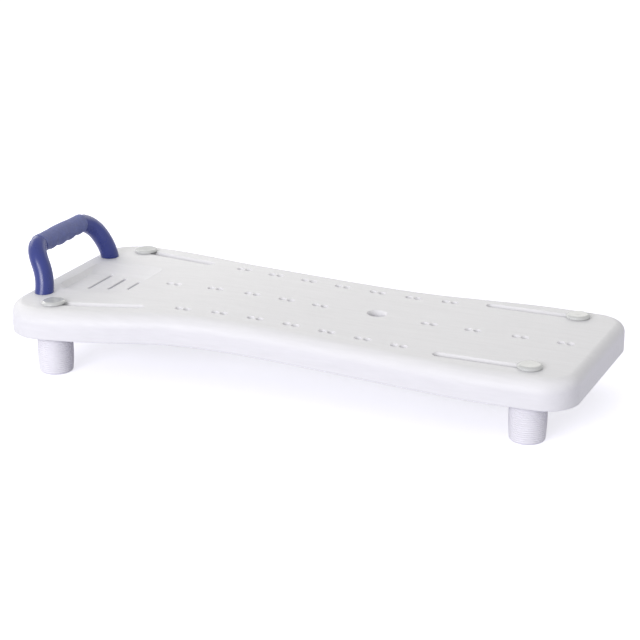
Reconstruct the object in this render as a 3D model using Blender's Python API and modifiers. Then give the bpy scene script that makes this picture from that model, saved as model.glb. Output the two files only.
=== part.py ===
"""Bath board with a grab handle, a soap dish and four feet that clamp in slots.

Metres, +Z up.  X runs along the board, from the handle end (-X) to the far end (+X),
and Y runs across it.  The origin lies on the floor under the middle of the whole bench.
"""

import math

import bmesh
import bpy
from mathutils import Matrix, Vector

# The gap kept between pieces that touch, how far a cutter runs past what it cuts,
# and the distance within which points are one
GAP = 0.0003
CUT_ROOM = 0.003
WELD_DISTANCE = 0.00001

# Seat board, seen from above.  Places along it are counted from the board's own middle.
BOARD_LENGTH = 0.692
BOARD_THICKNESS = 0.034
FLOOR_TO_BOARD = 0.048
BOARD_TOP = FLOOR_TO_BOARD + BOARD_THICKNESS
SIDE_STATIONS = (
    (-0.345, 0.1477), (-0.296, 0.1484), (-0.246, 0.1429), (-0.195, 0.1316), (-0.144, 0.1191),
    (-0.092, 0.1131), (-0.020, 0.1106), (0.063, 0.1123), (0.115, 0.1157), (0.166, 0.1208),
    (0.233, 0.1266), (0.290, 0.1261), (0.345, 0.1233),
)
SIDE_STEP = 0.030
HANDLE_END_CORNER = 0.050
FAR_END_CORNER = 0.0400
CORNER_SEGMENTS = 6

# The board's top edge is rounded, more along its sides than at its ends
SIDE_EDGE_RADIUS = 0.0170
END_EDGE_RADIUS = 0.0115
EDGE_SEGMENTS = 4

# Shell and the ribs under it
SKIRT_WALL = 0.0032
TOP_PLATE = 0.0046
RIB_WIDTH = 0.0026
RIB_BOTTOM = FLOOR_TO_BOARD + 0.006
LENGTH_RIB_Y = 0.034
CROSS_RIBS_X = (-0.208, -0.155, -0.110, -0.0645, -0.020, 0.025, 0.056, 0.114, 0.168, 0.222, 0.277)

# Lengthwise camber: level at the ends, a straight rise under the handle-end slots,
# then one smooth hump that runs out before the far-end slots
CAMBER_SLOPE = 0.0366
CAMBER_BLEND_START = -0.318
CAMBER_RISE_START = -0.306
CAMBER_RISE_END = -0.166
CAMBER_END = 0.140
CAMBER_SLICES = 8

# Drain holes: pairs of small holes in three rows, and one larger hole a little off the middle,
# with a short wall round it under the board
DRAIN_RADIUS = 0.0036
DRAIN_PAIR_SPACING = 0.0109
DRAIN_SIDES = 8
SIDE_ROW_FIRST_X = -0.1327
SIDE_ROW_PITCH = 0.04483
SIDE_ROW_COUNT = 7
SIDE_ROW_EDGE_INSET = 0.0355
MIDDLE_ROW_X = (-0.188, -0.132, -0.083, -0.038, 0.005, 0.141, 0.194, 0.250, 0.303)
LARGE_DRAIN_PLACE = (0.0740, 0.0070)
LARGE_DRAIN_RADIUS = 0.0100
LARGE_DRAIN_WALL = 0.0025
LARGE_DRAIN_BOTTOM = FLOOR_TO_BOARD + 0.018

# Slots that the clamping feet travel in
SLOT_WIDTH = 0.0088
SLOT_RAIL = 0.0040
RAIL_BOTTOM = FLOOR_TO_BOARD + 0.002
SLOT_LENGTH = 0.105
SLOT_END_ROOM = 0.0035
HANDLE_END_FOOT = (-0.2882, 0.1131)
HANDLE_END_SLOT_ANGLE = math.radians(-12.0)
FAR_END_FOOT = (0.2901, 0.0902)
FAR_END_SLOT_ANGLE = math.radians(180.0)

# Soap dish sunk in the board between the handle and the seat: a level floor, sloping sides,
# and three drain slots across it, each given by its middle and its length
DISH_TOP_CENTRE = (-0.2756, 0.0010)
DISH_TOP_LENGTH = 0.092
DISH_TOP_WIDTH = 0.116
DISH_TOP_CORNER = 0.018
DISH_FLOOR_CENTRE = (-0.2785, -0.0110)
DISH_FLOOR_LENGTH = 0.075
DISH_FLOOR_WIDTH = 0.076
DISH_FLOOR_CORNER = 0.010
DISH_FLOOR_TOP = BOARD_TOP - 0.0055
DISH_SHELL = 0.0030
DISH_SLOT_WIDTH = 0.0038
DISH_SLOTS = (((-0.2895, -0.0015), 0.059), ((-0.2662, -0.0010), 0.045), ((-0.2440, 0.0005), 0.031))

# Grab handle: one bent bar that rises from the board and curls out past its end
BAR_RADIUS = 0.0112
LEG_BASE_X = -0.3220
LEG_BASE_Y = 0.0792
CORNER_Y = 0.0639
GRIP_HEIGHT = 0.0492
CORNER_RADIUS = 0.0244
OUTWARD_REACH = 0.0230
OUTWARD_POWER = 2.1
LEG_HOLE_DEPTH = 0.018
BAR_RESOLUTION = 5
SQUARE_RUN = 0.0015
BEND_STEPS = 6
CORE_BEND_STEPS = 3
LEG_STEPS = 5

# Where the bar's bend and its straight leg start, by the distance along it from its middle
BEND_ANGLE = math.atan2(GRIP_HEIGHT, LEG_BASE_Y - CORNER_Y)
STRAIGHT_HALF_LENGTH = CORNER_Y - CORNER_RADIUS * math.tan(BEND_ANGLE / 2)
LEG_START = STRAIGHT_HALF_LENGTH + CORNER_RADIUS * BEND_ANGLE
LEG_END = LEG_START + 0.038

# Soft grip moulded round the bar: it is thick in the middle, slims towards both ends and
# flares again at its end lips, and its underside is wavy for the fingers
GRIP_HALF_LENGTH = 0.0490
GRIP_CORE_RADIUS = 0.0080
GRIP_RADIUS = 0.0118
GRIP_SWELL = 0.0008
GRIP_SWELL_PITCH = 0.070
GRIP_STEPS = 26
FINGER_PITCH = 0.0218
FINGER_SHIFT = 0.0045
FINGER_WAVE = 0.0007
FINGER_END = 0.0470
FINGER_FADE = 0.010
SHOULDER = 0.0002

# The grip reaches past the board's end, so the board's middle lies off the bench's own
GRIP_REACH = OUTWARD_REACH + GRIP_RADIUS + GRIP_SWELL - LEG_BASE_X
BOARD_SHIFT = (GRIP_REACH - BOARD_LENGTH / 2) / 2

# Screws that hold the handle from below
BOSS_RADIUS = 0.0100
BOSS_BOTTOM = FLOOR_TO_BOARD + 0.010
BOSS_SIDES = 16
SCREW_RADIUS = 0.0025
SCREW_HEAD_RADIUS = 0.0046
SCREW_HEAD_HEIGHT = 0.0032
SCREW_HEAD_EDGE = 0.0010
SCREW_LENGTH = 0.040
SCREW_POINT = 0.005
SCREW_WASHER_RADIUS = 0.0065
SCREW_WASHER_THICKNESS = 0.0012

# Clamping foot, one at each corner
CAP_RADIUS = 0.0142
CAP_HEIGHT = 0.0042
CAP_DIMPLE = 0.0006
CAP_EDGE = 0.0020
CAP_POCKET_DEPTH = 0.0026
BOLT_RADIUS = 0.0040
BOLT_HEAD_RADIUS = 0.0095
BOLT_HEAD_HEIGHT = 0.0022
BOLT_EDGE = 0.0009
BOLT_NECK_WIDTH = 0.0082
BOLT_NECK_DEPTH = 0.0065
BOLT_TIP = 0.014
WASHER_RADIUS = 0.0180
WASHER_BOTTOM = FLOOR_TO_BOARD - 0.0015
WASHER_EDGE = 0.0005
WASHER_LUG_HEIGHT = 0.0050
FOOT_TOP = WASHER_BOTTOM - GAP
CORE_RADIUS = 0.0165
CORE_BOTTOM = 0.0043
CORE_BORE_BOTTOM = 0.0100
NUT_ACROSS_FLATS = 0.0130
NUT_HEIGHT = 0.0065
SLEEVE_RADIUS = 0.0213
SLEEVE_BARREL = 0.0016
SLEEVE_WIDEST = 0.026
SLEEVE_FLOOR = 0.0040
SLEEVE_EDGE = 0.0030
SLEEVE_RIBS = 17
SLEEVE_GROOVE = 0.0004
ROUND_SIDES = 20
CAP_SIDES = 18
BOLT_SIDES = 12

# Colours and roughness of the materials
PLASTIC_WHITE = (0.80, 0.80, 0.81, 1.0)
CAP_GREY = (0.70, 0.71, 0.71, 1.0)
HANDLE_BLUE = (0.055, 0.072, 0.215, 1.0)
GRIP_BLUE = (0.115, 0.130, 0.290, 1.0)
RUBBER_WHITE = (0.78, 0.77, 0.80, 1.0)
STEEL = (0.60, 0.61, 0.62, 1.0)
BOARD_ROUGHNESS = 0.45
CAP_ROUGHNESS = 0.25
HANDLE_ROUGHNESS = 0.35
GRIP_ROUGHNESS = 0.75
RUBBER_ROUGHNESS = 0.60
STEEL_ROUGHNESS = 0.35


def clear_scene():
    for item in list(bpy.data.objects):
        bpy.data.objects.remove(item, do_unlink=True)


def make_collection(name):
    collection = bpy.data.collections.new(name)
    bpy.context.scene.collection.children.link(collection)
    return collection


def make_material(name, colour, roughness, metallic=0.0):
    material = bpy.data.materials.new(name)
    material.use_nodes = True
    shader = material.node_tree.nodes["Principled BSDF"]
    shader.inputs["Base Color"].default_value = colour
    shader.inputs["Roughness"].default_value = roughness
    shader.inputs["Metallic"].default_value = metallic
    return material


def object_from_mesh(name, mesh, collection):
    item = bpy.data.objects.new(name, mesh)
    collection.objects.link(item)
    return item


def object_from_bmesh(name, bm, collection):
    bmesh.ops.recalc_face_normals(bm, faces=bm.faces)
    mesh = bpy.data.meshes.new(name)
    bm.to_mesh(mesh)
    bm.free()
    return object_from_mesh(name, mesh, collection)


def make_cutter(item):
    """A cutter is shown as wires and stays out of any picture."""
    item.hide_render = True
    item.display_type = "WIRE"
    return item


def evaluated_mesh(item):
    bpy.context.view_layer.update()
    depsgraph = bpy.context.evaluated_depsgraph_get()
    return bpy.data.meshes.new_from_object(item.evaluated_get(depsgraph))


def apply_modifiers(item):
    mesh = evaluated_mesh(item)
    item.modifiers.clear()
    item.data = mesh
    return item


def boolean(target, cutter, operation="DIFFERENCE"):
    modifier = target.modifiers.new(cutter.name, "BOOLEAN")
    modifier.operation = operation
    modifier.solver = "EXACT"
    modifier.object = cutter
    return modifier


def cut_with(target, cutters, operation="DIFFERENCE"):
    for cutter in cutters:
        boolean(target, cutter, operation)
    return apply_modifiers(target)


def prism(name, points, low, high, collection):
    """An upright prism on a flat outline."""
    bm = bmesh.new()
    base = bm.faces.new([bm.verts.new((x, y, low)) for x, y in points])
    extruded = bmesh.ops.extrude_face_region(bm, geom=[base])["geom"]
    top_verts = [part for part in extruded if isinstance(part, bmesh.types.BMVert)]
    bmesh.ops.translate(bm, verts=top_verts, vec=(0.0, 0.0, high - low))
    return object_from_bmesh(name, bm, collection)


def box(name, low, high, collection):
    """A box between two corners."""
    bm = bmesh.new()
    size = Vector(high) - Vector(low)
    middle = (Vector(high) + Vector(low)) / 2
    place = Matrix.Translation(middle) @ Matrix.Diagonal(size.to_4d())
    bmesh.ops.create_cube(bm, size=1.0, matrix=place)
    return object_from_bmesh(name, bm, collection)


def cylinder(name, centre, radius, low, high, collection, sides=ROUND_SIDES):
    """An upright cylinder, or a prism where there are few sides."""
    bm = bmesh.new()
    place = Matrix.Translation((centre[0], centre[1], (low + high) / 2))
    bmesh.ops.create_cone(bm, cap_ends=True, segments=sides, radius1=radius, radius2=radius,
                          depth=high - low, matrix=place)
    return object_from_bmesh(name, bm, collection)


def turned(name, profile, centre, collection, sides=ROUND_SIDES):
    """A profile of (radius, height) points, top to bottom down the outside, turned round Z."""
    bm = bmesh.new()
    verts = [bm.verts.new((radius, 0.0, height)) for radius, height in profile]
    for first, second in zip(verts, verts[1:]):
        bm.edges.new((first, second))
    mesh = bpy.data.meshes.new(name)
    bm.to_mesh(mesh)
    bm.free()
    item = object_from_mesh(name, mesh, collection)
    item.location = (centre[0], centre[1], 0.0)
    screw = item.modifiers.new("turned", "SCREW")
    screw.steps = sides
    screw.render_steps = sides
    screw.use_merge_vertices = True
    screw.merge_threshold = WELD_DISTANCE
    return item


def shade_round(item, angle=35.0):
    item.data.shade_smooth()
    item.data.set_sharp_from_angle(angle=math.radians(angle))


def arc(centre, radius, start, end, segments):
    """Points along an arc, both ends included."""
    points = []
    for step in range(segments + 1):
        angle = start + (end - start) * step / segments
        points.append((centre[0] + radius * math.cos(angle), centre[1] + radius * math.sin(angle)))
    return points


def smooth_half_width(x):
    """Half the board's width at x: a smooth curve through the side stations."""
    stations = SIDE_STATIONS
    index = 0
    while index < len(stations) - 2 and x > stations[index + 1][0]:
        index += 1
    before = stations[max(index - 1, 0)]
    here = stations[index]
    after = stations[index + 1]
    beyond = stations[min(index + 2, len(stations) - 1)]
    span = after[0] - here[0]
    share = (x - here[0]) / span
    slope_here = (after[1] - before[1]) / (after[0] - before[0]) * span
    slope_after = (beyond[1] - here[1]) / (beyond[0] - here[0]) * span
    square = share * share
    cube = square * share
    return (here[1] * (2 * cube - 3 * square + 1) + slope_here * (cube - 2 * square + share)
            + after[1] * (3 * square - 2 * cube) + slope_after * (cube - square))


def half_outline():
    """The board's outline on the +Y side, from the far end's middle to the handle end's."""
    half_length = BOARD_LENGTH / 2
    far_x = half_length - FAR_END_CORNER
    near_x = -half_length + HANDLE_END_CORNER
    far_centre = (far_x, smooth_half_width(far_x) - FAR_END_CORNER)
    near_centre = (near_x, smooth_half_width(near_x) - HANDLE_END_CORNER)
    points = arc(far_centre, FAR_END_CORNER, 0.0, math.pi / 2, CORNER_SEGMENTS)
    steps = round((far_x - near_x) / SIDE_STEP)
    for step in range(1, steps):
        x = far_x + (near_x - far_x) * step / steps
        points.append((x, smooth_half_width(x)))
    points += arc(near_centre, HANDLE_END_CORNER, math.pi / 2, math.pi, CORNER_SEGMENTS)
    return points


def board_outline():
    """Each point of the whole outline at its place in the bench, and its direction inward."""
    upper = half_outline()
    points = [Vector((x + BOARD_SHIFT, y)) for x, y in upper]
    points += [Vector((point.x, -point.y)) for point in reversed(points)]
    outline = []
    for index, here in enumerate(points):
        first = (here - points[index - 1]).normalized()
        second = (points[(index + 1) % len(points)] - here).normalized()
        inward = Vector((-(first + second).y, (first + second).x)).normalized()
        outline.append((here, inward))
    return outline


def board_ring(inset, height, turn):
    """The outline moved in by the inset, and round the top edge by the turn, under the height."""
    ring = []
    for here, inward in board_outline():
        radius = END_EDGE_RADIUS + (SIDE_EDGE_RADIUS - END_EDGE_RADIUS) * inward.y ** 2 - inset
        place = here + inward * (inset + radius * (1 - math.cos(turn)))
        ring.append(Vector((place.x, place.y, height - radius * (1 - math.sin(turn)))))
    return ring


def rounded_slab(name, inset, low, high, collection):
    """A slab on the board's outline, moved in by the inset, with its top edge rounded."""
    rings = [[Vector((point.x, point.y, low)) for point in board_ring(inset, high, 0.0)]]
    for turn in spread(0.0, math.pi / 2, EDGE_SEGMENTS):
        rings.append(board_ring(inset, high, turn))
    return loft(name, rings, collection)


def stadium(centre, angle, length, width, segments=5):
    """A slot's outline from its first centre along the angle, with round ends."""
    start = Vector(centre)
    end = start + Vector((math.cos(angle), math.sin(angle))) * length
    points = arc(end, width / 2, angle - math.pi / 2, angle + math.pi / 2, segments)
    points += arc(start, width / 2, angle + math.pi / 2, angle + math.pi * 3 / 2, segments)
    return points


def rounded_rectangle(centre, length, width, radius, segments=4):
    points = []
    for quarter, (sign_x, sign_y) in enumerate(((1, 1), (-1, 1), (-1, -1), (1, -1))):
        corner = (centre[0] + sign_x * (length / 2 - radius), centre[1] + sign_y * (width / 2 - radius))
        points += arc(corner, radius, quarter * math.pi / 2, (quarter + 1) * math.pi / 2, segments)
    return points


def camber(x):
    """How far the board is lifted at x, counted from the board's middle."""
    blend = CAMBER_RISE_START - CAMBER_BLEND_START
    if x <= CAMBER_BLEND_START or x >= CAMBER_END:
        return 0.0
    if x < CAMBER_RISE_START:
        return CAMBER_SLOPE * (x - CAMBER_BLEND_START) ** 2 / (2 * blend)
    rise = CAMBER_SLOPE * (blend / 2 + min(x, CAMBER_RISE_END) - CAMBER_RISE_START)
    if x <= CAMBER_RISE_END:
        return rise
    span = CAMBER_END - CAMBER_RISE_END
    share = (x - CAMBER_RISE_END) / span
    square = share * share
    cube = square * share
    return rise * (2 * cube - 3 * square + 1) + CAMBER_SLOPE * span * (cube - 2 * square + share)


def camber_stations():
    """Where the board is sliced, so that the camber bends it in short straight runs."""
    stations = [CAMBER_BLEND_START, (CAMBER_BLEND_START + CAMBER_RISE_START) / 2, CAMBER_RISE_START]
    for step in range(CAMBER_SLICES + 1):
        stations.append(CAMBER_RISE_END + (CAMBER_END - CAMBER_RISE_END) * step / CAMBER_SLICES)
    return stations


def lift(x):
    """The camber of the sliced board at x, in the bench's own frame."""
    place = x - BOARD_SHIFT
    stations = camber_stations()
    if place <= stations[0] or place >= stations[-1]:
        return 0.0
    for low, high in zip(stations, stations[1:]):
        if place <= high:
            share = (place - low) / (high - low)
            return camber(low) * (1 - share) + camber(high) * share
    return 0.0


def slice_and_bend(item):
    """Slice the board across at each station, then lift every point by the camber."""
    bm = bmesh.new()
    bm.from_mesh(item.data)
    for station in camber_stations():
        everything = list(bm.verts) + list(bm.edges) + list(bm.faces)
        bmesh.ops.bisect_plane(bm, geom=everything, dist=WELD_DISTANCE,
                               plane_co=(station + BOARD_SHIFT, 0.0, 0.0), plane_no=(1.0, 0.0, 0.0))
    for vert in bm.verts:
        vert.co.z += lift(vert.co.x)
    bm.to_mesh(item.data)
    bm.free()
    return item


def corners():
    """Name, place, slot angle and slope of each clamping foot."""
    found = []
    for end, (x, y), angle in (("handle_end", HANDLE_END_FOOT, HANDLE_END_SLOT_ANGLE),
                               ("far_end", FAR_END_FOOT, FAR_END_SLOT_ANGLE)):
        slope = CAMBER_SLOPE if end == "handle_end" else 0.0
        found.append((end + "_back", (x + BOARD_SHIFT, y), angle, slope))
        found.append((end + "_front", (x + BOARD_SHIFT, -y), -angle, slope))
    return found


def slot_outline(place, angle, width):
    """A slot from just outside its foot's place to its inner end, the given width across."""
    start = (place[0] - SLOT_END_ROOM * math.cos(angle), place[1] - SLOT_END_ROOM * math.sin(angle))
    return stadium(start, angle, SLOT_LENGTH + SLOT_END_ROOM, width)


def leg_places():
    return (("back", (LEG_BASE_X + BOARD_SHIFT, LEG_BASE_Y)),
            ("front", (LEG_BASE_X + BOARD_SHIFT, -LEG_BASE_Y)))


def drain_places():
    """Centres of all the small drain holes."""
    pairs = [(x, 0.0) for x in MIDDLE_ROW_X]
    for step in range(SIDE_ROW_COUNT):
        x = SIDE_ROW_FIRST_X + SIDE_ROW_PITCH * step
        y = smooth_half_width(x) - SIDE_ROW_EDGE_INSET
        pairs += [(x, y), (x, -y)]
    places = []
    for x, y in pairs:
        for side in (-0.5, 0.5):
            places.append((x + BOARD_SHIFT + side * DRAIN_PAIR_SPACING, y))
    return places


def shifted(place):
    """A place counted from the board's own middle, counted from the bench's middle."""
    return (place[0] + BOARD_SHIFT, place[1])


def dish_solid(name, grow, floor, rim_heights, collection):
    """A tray with sloping sides: the soap dish's hollow, or with growth the shell round it."""
    floor_outline = rounded_rectangle(shifted(DISH_FLOOR_CENTRE), DISH_FLOOR_LENGTH + 2 * grow,
                                      DISH_FLOOR_WIDTH + 2 * grow, DISH_FLOOR_CORNER + grow)
    rim_outline = rounded_rectangle(shifted(DISH_TOP_CENTRE), DISH_TOP_LENGTH + 2 * grow,
                                    DISH_TOP_WIDTH + 2 * grow, DISH_TOP_CORNER + grow)
    rings = [[Vector((x, y, floor)) for x, y in floor_outline]]
    for height in rim_heights:
        rings.append([Vector((x, y, BOARD_TOP + lift(x) + height)) for x, y in rim_outline])
    return loft(name, rings, collection)


def loft(name, rings, collection):
    """A closed skin through rings that all have the same number of points."""
    bm = bmesh.new()
    loops = [[bm.verts.new(point) for point in ring] for ring in rings]
    bm.faces.new(loops[0])
    bm.faces.new(loops[-1])
    for lower, upper in zip(loops, loops[1:]):
        for index in range(len(lower)):
            following = (index + 1) % len(lower)
            bm.faces.new((lower[index], lower[following], upper[following], upper[index]))
    return object_from_bmesh(name, bm, collection)


def underside_hollow(cutters):
    """The space under the board's top plate, less the ribs, rails and bosses."""
    hollow = rounded_slab("underside_hollow", SKIRT_WALL, FLOOR_TO_BOARD - CUT_ROOM,
                          BOARD_TOP - TOP_PLATE, cutters)
    half_length = BOARD_LENGTH / 2
    half_width = max(width for _, width in SIDE_STATIONS)
    half_rib = RIB_WIDTH / 2
    solids = []
    for index, x in enumerate(CROSS_RIBS_X):
        middle = x + BOARD_SHIFT
        solids.append(box(f"cross_rib_{index}", (middle - half_rib, -half_width, RIB_BOTTOM),
                          (middle + half_rib, half_width, BOARD_TOP), cutters))
    for side in (-1, 1):
        y = side * LENGTH_RIB_Y
        solids.append(box(f"length_rib_{side}", (BOARD_SHIFT - half_length, y - half_rib, RIB_BOTTOM),
                          (BOARD_SHIFT + half_length, y + half_rib, BOARD_TOP), cutters))
    for name, place, angle, _ in corners():
        outline = slot_outline(place, angle, SLOT_WIDTH + 2 * SLOT_RAIL)
        solids.append(prism("rail_" + name, outline, RAIL_BOTTOM, BOARD_TOP, cutters))
    for side, place in leg_places():
        solids.append(cylinder("boss_" + side, place, BOSS_RADIUS, BOSS_BOTTOM, BOARD_TOP, cutters,
                               BOSS_SIDES))
    solids.append(cylinder("drain_wall", shifted(LARGE_DRAIN_PLACE), LARGE_DRAIN_RADIUS + LARGE_DRAIN_WALL,
                           LARGE_DRAIN_BOTTOM, BOARD_TOP, cutters, ROUND_SIDES))
    return cut_with(hollow, solids), solids


def board_holes(cutters):
    """Cutters for the adjusting slots, the drain holes and the handle's screws."""
    above = BOARD_TOP + CUT_ROOM
    below_plate = BOARD_TOP - TOP_PLATE - CUT_ROOM
    tools = []
    for name, place, angle, _ in corners():
        tools.append(prism("slot_" + name, slot_outline(place, angle, SLOT_WIDTH), RAIL_BOTTOM - CUT_ROOM,
                           above, cutters))
    for index, place in enumerate(drain_places()):
        tools.append(cylinder(f"drain_{index}", place, DRAIN_RADIUS, below_plate, above, cutters,
                              DRAIN_SIDES))
    tools.append(cylinder("large_drain", shifted(LARGE_DRAIN_PLACE), LARGE_DRAIN_RADIUS,
                          LARGE_DRAIN_BOTTOM - CUT_ROOM, above, cutters, ROUND_SIDES))
    for side, place in leg_places():
        tools.append(cylinder("screw_hole_" + side, place, SCREW_RADIUS + 2 * GAP, BOSS_BOTTOM - CUT_ROOM,
                              above, cutters, BOLT_SIDES))
    return tools


def sink_dish(board, cutters):
    """Sink the soap dish in the bent board, with its shell below and its drain slots."""
    shell = dish_solid("dish_shell", DISH_SHELL, DISH_FLOOR_TOP - DISH_SHELL, [-TOP_PLATE / 2], cutters)
    hollow = dish_solid("dish_hollow", 0.0, DISH_FLOOR_TOP, [0.0, CUT_ROOM], cutters)
    tools = [hollow]
    for index, (middle, length) in enumerate(DISH_SLOTS):
        x, y = shifted(middle)
        reach = length - DISH_SLOT_WIDTH
        outline = stadium((x, y - reach / 2), math.pi / 2, reach, DISH_SLOT_WIDTH, 3)
        tools.append(prism(f"dish_slot_{index}", outline, DISH_FLOOR_TOP - DISH_SHELL - CUT_ROOM,
                           BOARD_TOP, cutters))
    cut_with(board, [shell], "UNION")
    cut_with(board, tools)
    for cutter in [shell] + tools:
        make_cutter(cutter)
    return board


def build_seat_board(parts, cutters, material):
    board = rounded_slab("seat_board", 0.0, FLOOR_TO_BOARD, BOARD_TOP, parts)
    hollow, solids = underside_hollow(cutters)
    tools = [hollow] + board_holes(cutters)
    cut_with(board, tools)
    for cutter in tools + solids:
        make_cutter(cutter)
    slice_and_bend(board)
    return finish(sink_dish(board, cutters), material)


def bar_line(distance):
    """The bar's middle line seen from the end, as (y, height), from its distance off the middle."""
    side = math.copysign(1.0, distance)
    reach = abs(distance)
    if reach <= STRAIGHT_HALF_LENGTH:
        return distance, GRIP_HEIGHT
    angle = min((reach - STRAIGHT_HALF_LENGTH) / CORNER_RADIUS, BEND_ANGLE)
    along_leg = max(reach - LEG_START, 0.0)
    y = STRAIGHT_HALF_LENGTH + CORNER_RADIUS * math.sin(angle) + along_leg * math.cos(angle)
    height = GRIP_HEIGHT - CORNER_RADIUS * (1 - math.cos(angle)) - along_leg * math.sin(angle)
    return side * y, height


def curled_point(distance):
    """A point of the bar's middle line, curled out past the board's end as it rises."""
    y, height = bar_line(distance)
    curl = OUTWARD_REACH * (max(height, 0.0) / GRIP_HEIGHT) ** OUTWARD_POWER
    return Vector((LEG_BASE_X + BOARD_SHIFT - curl, y, BOARD_TOP + height))


def bar_point(distance):
    """The same line, made straight for a short run each way from the grip's ends."""
    past_end = abs(distance) - GRIP_HALF_LENGTH
    if abs(past_end) > SQUARE_RUN:
        return curled_point(distance)
    side = math.copysign(1.0, distance)
    end = curled_point(side * GRIP_HALF_LENGTH)
    before_end = curled_point(side * (GRIP_HALF_LENGTH - SQUARE_RUN))
    return end + (end - before_end) * past_end / SQUARE_RUN


def tube(name, stations, collection):
    """A round tube through stations of (point, radius), made solid with welded caps."""
    curve = bpy.data.curves.new(name, "CURVE")
    curve.dimensions = "3D"
    curve.bevel_depth = 1.0
    curve.bevel_resolution = BAR_RESOLUTION
    curve.use_fill_caps = True
    spline = curve.splines.new("POLY")
    spline.points.add(len(stations) - 1)
    for target, (point, radius) in zip(spline.points, stations):
        target.co = (point.x, point.y, point.z, 1.0)
        target.radius = radius
    guide = object_from_mesh(name + "_curve", curve, collection)
    bm = bmesh.new()
    bm.from_mesh(evaluated_mesh(guide))
    bpy.data.objects.remove(guide, do_unlink=True)
    bmesh.ops.remove_doubles(bm, verts=bm.verts, dist=WELD_DISTANCE)
    return object_from_bmesh(name, bm, collection)


def spread(first, last, steps):
    """Evenly spaced values from the first to the last, both included."""
    return [first + (last - first) * step / steps for step in range(steps + 1)]


def mirrored(distances):
    """Distances along the bar's back half, followed by their twins on its front half."""
    return distances + [-distance for distance in reversed(distances)]


def core_line():
    """Distances along the thin core that the grip is moulded on."""
    bend = spread(GRIP_HALF_LENGTH - SQUARE_RUN, STRAIGHT_HALF_LENGTH, CORE_BEND_STEPS)
    return mirrored([GRIP_HALF_LENGTH - SHOULDER] + bend)


def build_handle(parts, cutters, material):
    leg = spread(LEG_END, LEG_START, LEG_STEPS)
    leg += spread(LEG_START, GRIP_HALF_LENGTH + SQUARE_RUN, BEND_STEPS)[1:] + [GRIP_HALF_LENGTH]
    back_leg = [(bar_point(distance), BAR_RADIUS) for distance in leg]
    front_leg = [(bar_point(-distance), BAR_RADIUS) for distance in reversed(leg)]
    core = [(bar_point(distance), GRIP_CORE_RADIUS) for distance in core_line()]
    handle = tube("grab_handle", back_leg + core + front_leg, parts)
    leg_bottom = BOARD_TOP + GAP
    base_x = LEG_BASE_X + BOARD_SHIFT
    reach = 2 * BAR_RADIUS
    tools = [box("leg_trim", (base_x - reach, -LEG_BASE_Y - reach, leg_bottom - reach),
                 (base_x + reach, LEG_BASE_Y + reach, leg_bottom), cutters)]
    for side, place in leg_places():
        tools.append(cylinder("leg_hole_" + side, place, SCREW_RADIUS + GAP, leg_bottom - reach,
                              leg_bottom + LEG_HOLE_DEPTH, cutters, BOLT_SIDES))
    cut_with(handle, tools)
    for cutter in tools:
        make_cutter(cutter)
    return finish(handle, material)


def grip_station(distance):
    """The grip swells in the middle and at its lips, and its underside waves round the fingers."""
    swell = GRIP_SWELL * math.cos(math.tau * distance / GRIP_SWELL_PITCH)
    fade = min(max((FINGER_END - abs(distance)) / FINGER_FADE, 0.0), 1.0)
    wave = -FINGER_WAVE * fade * math.cos(math.tau * (distance - FINGER_SHIFT) / FINGER_PITCH)
    point = bar_point(distance)
    point.z -= wave / 2
    return point, GRIP_RADIUS + swell + wave / 2


def build_grip(parts, cutters, material):
    end = GRIP_HALF_LENGTH - SHOULDER - GAP
    lip = GRIP_HALF_LENGTH - SQUARE_RUN
    line = [end] + spread(lip, -lip, GRIP_STEPS) + [-end]
    grip = tube("handle_grip", [grip_station(distance) for distance in line], parts)
    bore_line = [GRIP_HALF_LENGTH] + core_line()[1:-1] + [-GRIP_HALF_LENGTH]
    bore = tube("grip_bore", [(bar_point(distance), GRIP_CORE_RADIUS + GAP) for distance in bore_line],
                cutters)
    cut_with(grip, [bore])
    make_cutter(bore)
    return finish(grip, material)


def build_handle_fixings(parts, material):
    """A washer and a screw under each leg of the handle."""
    for side, place in leg_places():
        washer_top = BOSS_BOTTOM - GAP
        washer_bottom = washer_top - SCREW_WASHER_THICKNESS
        bore = SCREW_RADIUS + GAP
        ring = [(bore, washer_bottom), (bore, washer_top), (SCREW_WASHER_RADIUS, washer_top),
                (SCREW_WASHER_RADIUS, washer_bottom), (bore, washer_bottom)]
        finish(turned("handle_washer_" + side, ring, place, parts, BOSS_SIDES), material)
        head_top = washer_bottom - GAP
        head_bottom = head_top - SCREW_HEAD_HEIGHT
        tip = head_top + SCREW_LENGTH
        screw = [(0.0, tip), (SCREW_RADIUS, tip - SCREW_POINT), (SCREW_RADIUS, head_top),
                 (SCREW_HEAD_RADIUS, head_top), (SCREW_HEAD_RADIUS, head_bottom + SCREW_HEAD_EDGE),
                 (SCREW_HEAD_RADIUS - SCREW_HEAD_EDGE, head_bottom), (0.0, head_bottom)]
        finish(turned("handle_screw_" + side, screw, place, parts, BOLT_SIDES), material)


def finish(item, material):
    """Give a piece its material and smooth shading, with its shape worked out."""
    if item.modifiers:
        apply_modifiers(item)
    item.data.materials.clear()
    item.data.materials.append(material)
    shade_round(item)
    return item


def lay_on_slope(item, slope, above):
    """Slide a piece's points above a height up or down, to lie flat on the sloping board."""
    if item.modifiers:
        apply_modifiers(item)
    for vert in item.data.vertices:
        if vert.co.z > above:
            vert.co.z += slope * vert.co.x
    return item


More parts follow.
